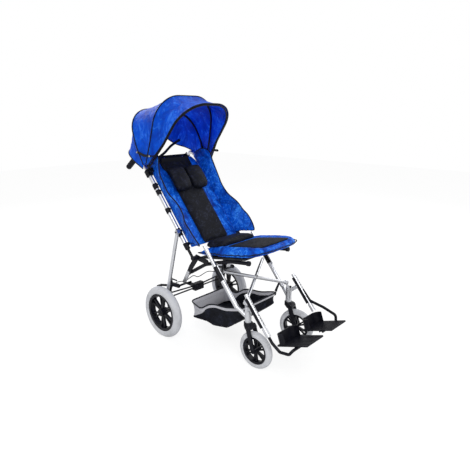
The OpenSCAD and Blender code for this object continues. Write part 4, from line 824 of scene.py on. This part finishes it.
def seat_layer(name, f0, f1, half, base, tall, corner, seed):
    """A pad that lies on the seat: super-ellipse outline, crown by the swell of both directions."""
    v, u = spans(44, 36)
    f = mix(f0, f1, (v + 1) / 2) + 0 * u
    wide = half * np.clip(1 - np.abs(v) ** corner, 0, 1) ** (1 / corner)
    wide = np.maximum(wide, half * 0.1)
    height = swell(u, v, 5.0)
    wave = ripple(u * 1.5, v * 2, seed) * 0.0010
    front = place(u * wide, f, seat_edge(f) + base + tall * (0.35 + 0.6 * height) + wave * height)
    rear = place(u * wide, f, seat_edge(f) + base + 0 * height)
    return pad(name, front, rear)


class MakeSeat(bpy.types.Operator):
    """Blue seat cushion with a wavy sewn edge, the black centre pad and the black block"""

    bl_idname = "chair.make_seat"
    bl_label = "Seat cushion, pad and block"

    def execute(self, context):
        sizes = context.scene.chair_sizes
        v, u = spans(56, 44)
        inset, crown, belly = 0.003, 0.016, 0.019
        f = mix(SEAT_REAR + inset, SEAT_FRONT - inset, (v + 1) / 2) + 0 * u
        height = swell(u, v)
        edge = seat_edge(f)
        roll = 0.013 * np.exp(-((np.abs(u) - 0.80) / 0.13) ** 2) * smooth((v + 0.75) / 0.5) * height**0.3
        front = place(u * seat_half(v), f, edge + crown * height + roll + 0.001)
        rear = place(u * seat_half(v), f, edge - belly * np.sqrt(height) - 0.001)
        piece = pad("seat_cushion_blue", front, rear)

        def near_top(co):
            """Share of the swelling: all of it above the sewn edge, little of it below."""
            return np.where(co[:, 2] < seat_edge(AXLE_Y - co[:, 1]) - 0.006, 0.15, 1.0)

        puff(piece, 0.007, sizes.voxel * 1.15, 4.0, near_top)

        def puckers(co):
            """Gathers along the sewn edge: short waves round the outline that fade towards the middle."""
            f = AXLE_Y - co[:, 1]
            v = np.clip(2 * (f - SEAT_REAR) / (SEAT_FRONT - SEAT_REAR) - 1, -1, 1)
            half = np.maximum(seat_half(v), 0.02)
            near = np.clip(np.maximum(np.abs(co[:, 0]) / half, np.abs(v)), 0, 1) ** 7
            turn = np.arctan2(co[:, 0] / half, v)
            up = np.where(co[:, 2] > seat_edge(f) - 0.004, 1.0, 0.3)
            wave = 0.0026 * np.sin(turn * 34 + 1.7 * np.sin(turn * 7)) * near * up
            return np.stack([0 * wave, 0 * wave, wave], -1)

        press(piece, puckers)
        finer(piece)
        set_up(piece, "blue_cloth", "seat_frame", ["seat_cushion"])
        self.piping(sizes)
        strip = seat_layer("seat_strip", 0.362, 0.598, 0.124, 0.0205, 0.010, 10.0, 61)
        set_up(strip, "black_cloth", "seat_frame", ["seat_pad"])
        block = seat_layer("seat_block_pad", 0.210, 0.350, 0.138, 0.0205, 0.034, 8.0, 67)
        puff(block, 0.005, sizes.voxel, 5.0)
        finer(block)
        set_up(block, "black_cloth", "seat_frame", ["seat_block"])
        return {"FINISHED"}

    def piping(self, sizes):
        """Piping round the cushion's outline at the height of its sewn edge."""
        v = np.linspace(-1, 0.999, 160)
        f = mix(SEAT_REAR + 0.002, SEAT_FRONT - 0.002, (v + 1) / 2)
        half = seat_half(v) + 0.0005
        right = place(half, f, seat_edge(f))
        left = place(-half, f, seat_edge(f))
        loop = resample(np.vstack([left[::-1], right, left[-1:]]), 420)[:-1]
        edge = seat_edge(AXLE_Y - loop[:, 1])
        turn = around(len(loop))
        loop[:, 2] = edge + 0.0012 * np.sin(turn * 34)
        pipe = tube("seat_piping", loop, sizes.piping * 0.8, sides=8, ref=(0, 0.1, 1), closed=True)
        trim(pipe, "seat_frame")


# Basket

def basket_rim(f):
    return mix(*RIM_Z, (f - RIM_F[0]) / (RIM_F[1] - RIM_F[0]))


def basket_low(f):
    """Depth of the basket under its rim, deepest before its front, where it rises clear of the casters."""
    return np.interp(f, [0.095, 0.225, 0.281, 0.385, 0.500], [0.100, 0.112, 0.130, 0.130, 0.061])


def rim_sag(x, f, half):
    """How far the free upper edge droops along the sides, between the corner straps."""
    side = smooth((np.abs(x) / half - 0.8) / 0.2)
    return side * (0.034 * np.exp(-(((f - 0.180) / 0.055) ** 2)) + 0.008 * np.exp(-(((f - 0.38) / 0.06) ** 2)))


def net_share(f):
    """Share of the wall's depth that is net: all of it at the rear, little of it at the front."""
    return np.interp(f, [0.0965, 0.130, 0.215, 0.30, 0.40, 0.50], [0.97, 0.86, 0.22, 0.16, 0.20, 0.34])


class MakeBasket(bpy.types.Operator):
    """Black cloth basket with a grey net band, a bound rim and the straps that hang it"""

    bl_idname = "chair.make_basket"
    bl_label = "Basket"

    def execute(self, context):
        sizes = context.scene.chair_sizes
        half, f0, f1 = 0.1485, 0.0965, 0.4985
        corner = rounded([(0, f0), (half, f0), (half, f1), (-half, f1), (-half, f0), (0, f0)], 0.022)
        loop = resample(corner, 161)[:-1]
        x, f = loop[:, 0][None, :], loop[:, 1][None, :]
        rim = basket_rim(f)
        low = rim - basket_low(f)
        drop, share = rim_sag(x, f, half), net_share(f)
        mid_f, half_f = (f0 + f1) / 2, (f1 - f0) / 2

        def wall(k):
            """Wall at depth k: drawn in between the corners, more in the middle of its height."""
            lean = 0.006 * np.sin(math.pi * np.clip(k, 0, 1)) + 0.005 * k
            wave = 0.0018 * ripple(f * 14 + 0 * k, x * 14 + k, 71)
            cx, cf = x / half, (f - mid_f) / half_f
            side = place(x - (lean + wave * k) * cx, f - (lean + wave * k) * cf, 0)
            side[..., 2] = mix(rim - drop, low, k)
            return side

        lower = wall(mix(share, 1.0, np.linspace(0, 1, 14)[:, None]))
        inward = np.linspace(1, 0.02, 14)[1:, None]
        bx = x * inward * 0.965
        bf = mid_f + (f - mid_f) * (0.12 + 0.88 * inward) * 0.975
        sag = 0.004 * (1 - inward) ** 0.5 + 0.0012 * ripple(bf * 9, bx * 9, 72)
        floor = place(bx, bf, basket_rim(bf) - basket_low(bf) - sag * 0.5)
        bag = surface("basket_bag", np.concatenate([lower, floor]), wrap=True)
        walls(bag, 0.0022)
        set_up(bag, "black_cloth", "front_frame", ["basket"])
        upper = wall(mix(0.0, share, np.linspace(0, 1, 10)[:, None]))
        net = surface("basket_net", upper, wrap=True)
        walls(net, 0.0012)
        set_up(net, "grey_cloth", "front_frame")
        edge = tube("basket_rim", upper[0], 0.0040, 0.0032, 10, (0, 0.2, 1), True)
        trim(edge, "front_frame")
        edge = tube("basket_seam", upper[-1], 0.0022, sides=8, ref=(0, 0.2, 1), closed=True)
        trim(edge, "front_frame")
        self.straps(sizes)
        return {"FINISHED"}

    def straps(self, sizes):
        """Webbing from the front corners of the rim round the lower leg tubes."""
        for side, word in ((1, "left"), (-1, "right")):
            path = curve_through([
                place(side * 0.147, 0.488, 0.262), place(side * 0.152, 0.489, 0.290),
                place(side * 0.170, 0.489, 0.316), place(side * 0.1805, 0.488, 0.328),
            ], 24)
            strap = tube("basket_strap_" + word, path, sizes.webbing * 0.55, 0.0014, 12, (0.3, 0, 1), square=0.4)
            trim(strap, "front_frame")


# Straps, cable and small trim

class MakeTrim(bpy.types.Operator):
    """Webbing behind the hood, the tube straps and the hood's rivets"""

    bl_idname = "chair.make_trim"
    bl_label = "Straps and rivets"

    def execute(self, context):
        sizes = context.scene.chair_sizes
        path = curve_through([
            line(-0.105, 0.642, 0.022), place(-0.040, -0.222, 1.036), place(0.050, -0.272, 1.068),
            place(0.150, -0.322, 1.092), place(0.196, -0.345, 1.104),
        ], 50)
        strap = tube("hood_strap", path, 0.0014, sizes.webbing * 0.42, 12, (0.3, 1, 0), square=0.4)
        trim(strap, "back_frame")
        radius, lean, turn = 0.0133, 0.004, around(48)
        way = (0, math.cos(PUSH_ANGLE), math.sin(PUSH_ANGLE))
        for side, word in ((1, "left"), (-1, "right")):
            for k, s in enumerate((0.556, 0.470)):
                ring = line(side * PUSH_X + radius * np.cos(turn), s + lean * np.cos(turn), radius * np.sin(turn))
                band = tube("tube_strap_%s_%d" % (word, k), ring, 0.015, 0.0018, 10, way, True, 0.4)
                trim(band, "back_frame")
        self.rivets()
        return {"FINISHED"}

    def rivets(self):
        """Domed rivets on the hood stays: rings that shrink as a quarter circle rises."""
        turn = around(20)[None, :]
        rise = np.linspace(0, math.pi / 2, 7)[:, None]
        radius, dome = 0.0048, 0.0022
        for bow, x in (("rear", 0.2615), ("front", 0.2655)):
            made = []
            a = math.radians(BOWS[bow][0])
            centre_f, centre_z = HOOD_F + STAY_REACH * math.cos(a), HOOD_Z + STAY_REACH * math.sin(a)
            for side in (1, -1):
                r = radius * np.cos(rise) + 0.00005
                grid = place(side * (x + dome * np.sin(rise) + 0 * turn), centre_f + r * np.cos(turn),
                             centre_z + r * np.sin(turn))
                made.append(turn_out(surface("rivet", grid, wrap=True, caps=True)))
            set_up(joined("rivets_stay_" + bow, made), "steel", "stay_" + bow)


class MakeCable(bpy.types.Operator):
    """Free run of the brake cable over the rear brace, as one round cord"""

    bl_idname = "chair.make_cable"
    bl_label = "Brake cable"

    def execute(self, context):
        shares = [
            (-1, 0.15, -0.6), (-0.68, 0.65, 0.6), (-0.32, 0.85, 0), (-0.05, 0.75, 0.8),
            (0.18, 0.95, -0.3), (0.5, 0.75, 0.5), (0.77, 0.6, -0.2), (1, 0.15, -0.6),
        ]
        half, sag, middle, radius = 0.2213, 0.040, 0.266, 0.0025
        q = np.array(shares)
        route = place(q[:, 0] * half, -q[:, 1] * sag, middle + (q[:, 2] + 0.5) * sag / 2)
        path = curve_through(route, 160)
        cable = tube("brake_cable_run", path, radius, sides=10, ref=(0, 1, 0.3))
        set_up(cable, "black_plastic", "rear_frame", ["brake_cable"])
        return {"FINISHED"}


class DressFrame(bpy.types.Operator):
    """Finishes of the frame's own pieces"""

    bl_idname = "chair.dress_frame"
    bl_label = "Frame finishes"

    def execute(self, context):
        finishes()
        slots = {row["node"]: row["material_slot"] for row in frame["record"]["subparts"]}
        for name in frame["nodes"]:
            finish = "wheel_black" if name.startswith(("rear_rim", "front_rim")) else slots[name]
            wear_finish(bpy.data.objects[name], finish)
        return {"FINISHED"}


# Camera, floor and light

class MakeStage(bpy.types.Operator):
    """Camera at the photograph's angle, pale floor and soft lamps"""

    bl_idname = "chair.make_stage"
    bl_label = "Camera, floor and light"

    def execute(self, context):
        scene = context.scene
        data = bpy.data.cameras.new("camera")
        data.lens, data.sensor_width = CAMERA_LENS, CAMERA_SENSOR
        camera = bpy.data.objects.new("camera", data)
        scene.collection.objects.link(camera)
        camera.location = CAMERA_AT
        a, e = CAMERA_TURN, CAMERA_LIFT
        back = Vector((math.sin(a) * math.cos(e), -math.cos(a) * math.cos(e), math.sin(e)))
        camera.rotation_mode = "QUATERNION"
        camera.rotation_quaternion = (-back).to_track_quat("-Z", "Y")
        data.clip_start, data.clip_end = 0.05, 60
        scene.camera = camera
        scene.view_settings.view_transform = "Standard"
        floor_half = 9
        u = np.linspace(-floor_half, floor_half, 3)
        x, y = np.meshgrid(u, u, indexing="ij")
        floor = surface("floor", np.stack([x, y, 0 * x], -1))
        floor.data.flip_normals()
        made, tree, shader = material("floor_white", Roughness=0.9)
        shader.inputs["Base Color"].default_value = (0.86, 0.86, 0.86, 1)
        glow = node(tree, "Emission", {"Color": (1, 1, 1, 1), "Strength": 1.14})
        path = node(tree, "LightPath")
        share = node(tree, "Math", {0: path.outputs["Is Camera Ray"], 1: 0.72}, operation="MULTIPLY")
        both = node(tree, "MixShader", {0: share.outputs[0], 1: shader.outputs[0], 2: glow.outputs[0]})
        tree.links.new(both.outputs[0], tree.nodes["Material Output"].inputs["Surface"])
        floor.data.materials.append(made)
        world = bpy.data.worlds.new("studio")
        scene.world = world
        world.use_nodes = True
        sky = world.node_tree
        light = sky.nodes["Background"]
        seen = node(sky, "LightPath")
        shiny = node(sky, "Math", {0: seen.outputs["Is Glossy Ray"], 1: 0.4}, operation="MULTIPLY")
        both = node(sky, "Math", {0: seen.outputs["Is Camera Ray"], 1: shiny.outputs[0]}, operation="MAXIMUM")
        level = node(sky, "MapRange", {"Value": both.outputs[0], "To Min": 0.62, "To Max": 1.0})
        light.inputs["Color"].default_value = (1, 1, 1, 1)
        sky.links.new(level.outputs[0], light.inputs["Strength"])
        self.lamp(scene, "key_lamp", (-2.4, -2.6, 3.4), 2.2, 85)
        self.lamp(scene, "side_lamp", (3.2, -1.0, 2.6), 2.6, 40)
        self.lamp(scene, "rear_lamp", (0.4, 3.2, 2.8), 2.4, 40)
        return {"FINISHED"}

    def lamp(self, scene, name, at, size, power):
        data = bpy.data.lights.new(name, "AREA")
        data.shape, data.size, data.energy = "SQUARE", size, power
        lamp = bpy.data.objects.new(name, data)
        scene.collection.objects.link(lamp)
        lamp.location = at
        lamp.rotation_mode = "QUATERNION"
        lamp.rotation_quaternion = (Vector((0, 0, 0.6)) - Vector(at)).to_track_quat("-Z", "Y")


OPERATORS = (MakeStage, MakeCable, DressFrame, MakeHood, MakeWings, MakeBack, MakeSeat, MakeBasket, MakeTrim)


class ChairPanel(bpy.types.Panel):
    """Lists the pieces of the push chair with their sizes and colours"""

    bl_idname = "VIEW3D_PT_chair"
    bl_label = "Push chair"
    bl_space_type = "VIEW_3D"
    bl_region_type = "UI"
    bl_category = "Push chair"

    def draw(self, context):
        for group_name in ("chair_sizes", "chair_colours"):
            values = getattr(context.scene, group_name)
            for key in values.__annotations__:
                self.layout.prop(values, key)
        for made in OPERATORS:
            self.layout.operator(made.bl_idname)


CLASSES = (ChairSizes, ChairColours, *OPERATORS, ChairPanel)


def register():
    for made in CLASSES:
        bpy.utils.register_class(made)
    bpy.types.Scene.chair_sizes = PointerProperty(type=ChairSizes)
    bpy.types.Scene.chair_colours = PointerProperty(type=ChairColours)


def unregister():
    del bpy.types.Scene.chair_colours, bpy.types.Scene.chair_sizes
    for made in reversed(CLASSES):
        bpy.utils.unregister_class(made)


def main():
    register()
    bpy.ops.chair.make_stage()
    bpy.ops.chair.dress_frame()
    bpy.ops.chair.make_cable()
    bpy.ops.chair.make_hood()
    bpy.ops.chair.make_wings()
    bpy.ops.chair.make_back()
    bpy.ops.chair.make_seat()
    bpy.ops.chair.make_basket()
    bpy.ops.chair.make_trim()


if __name__ == "__main__":
    main()
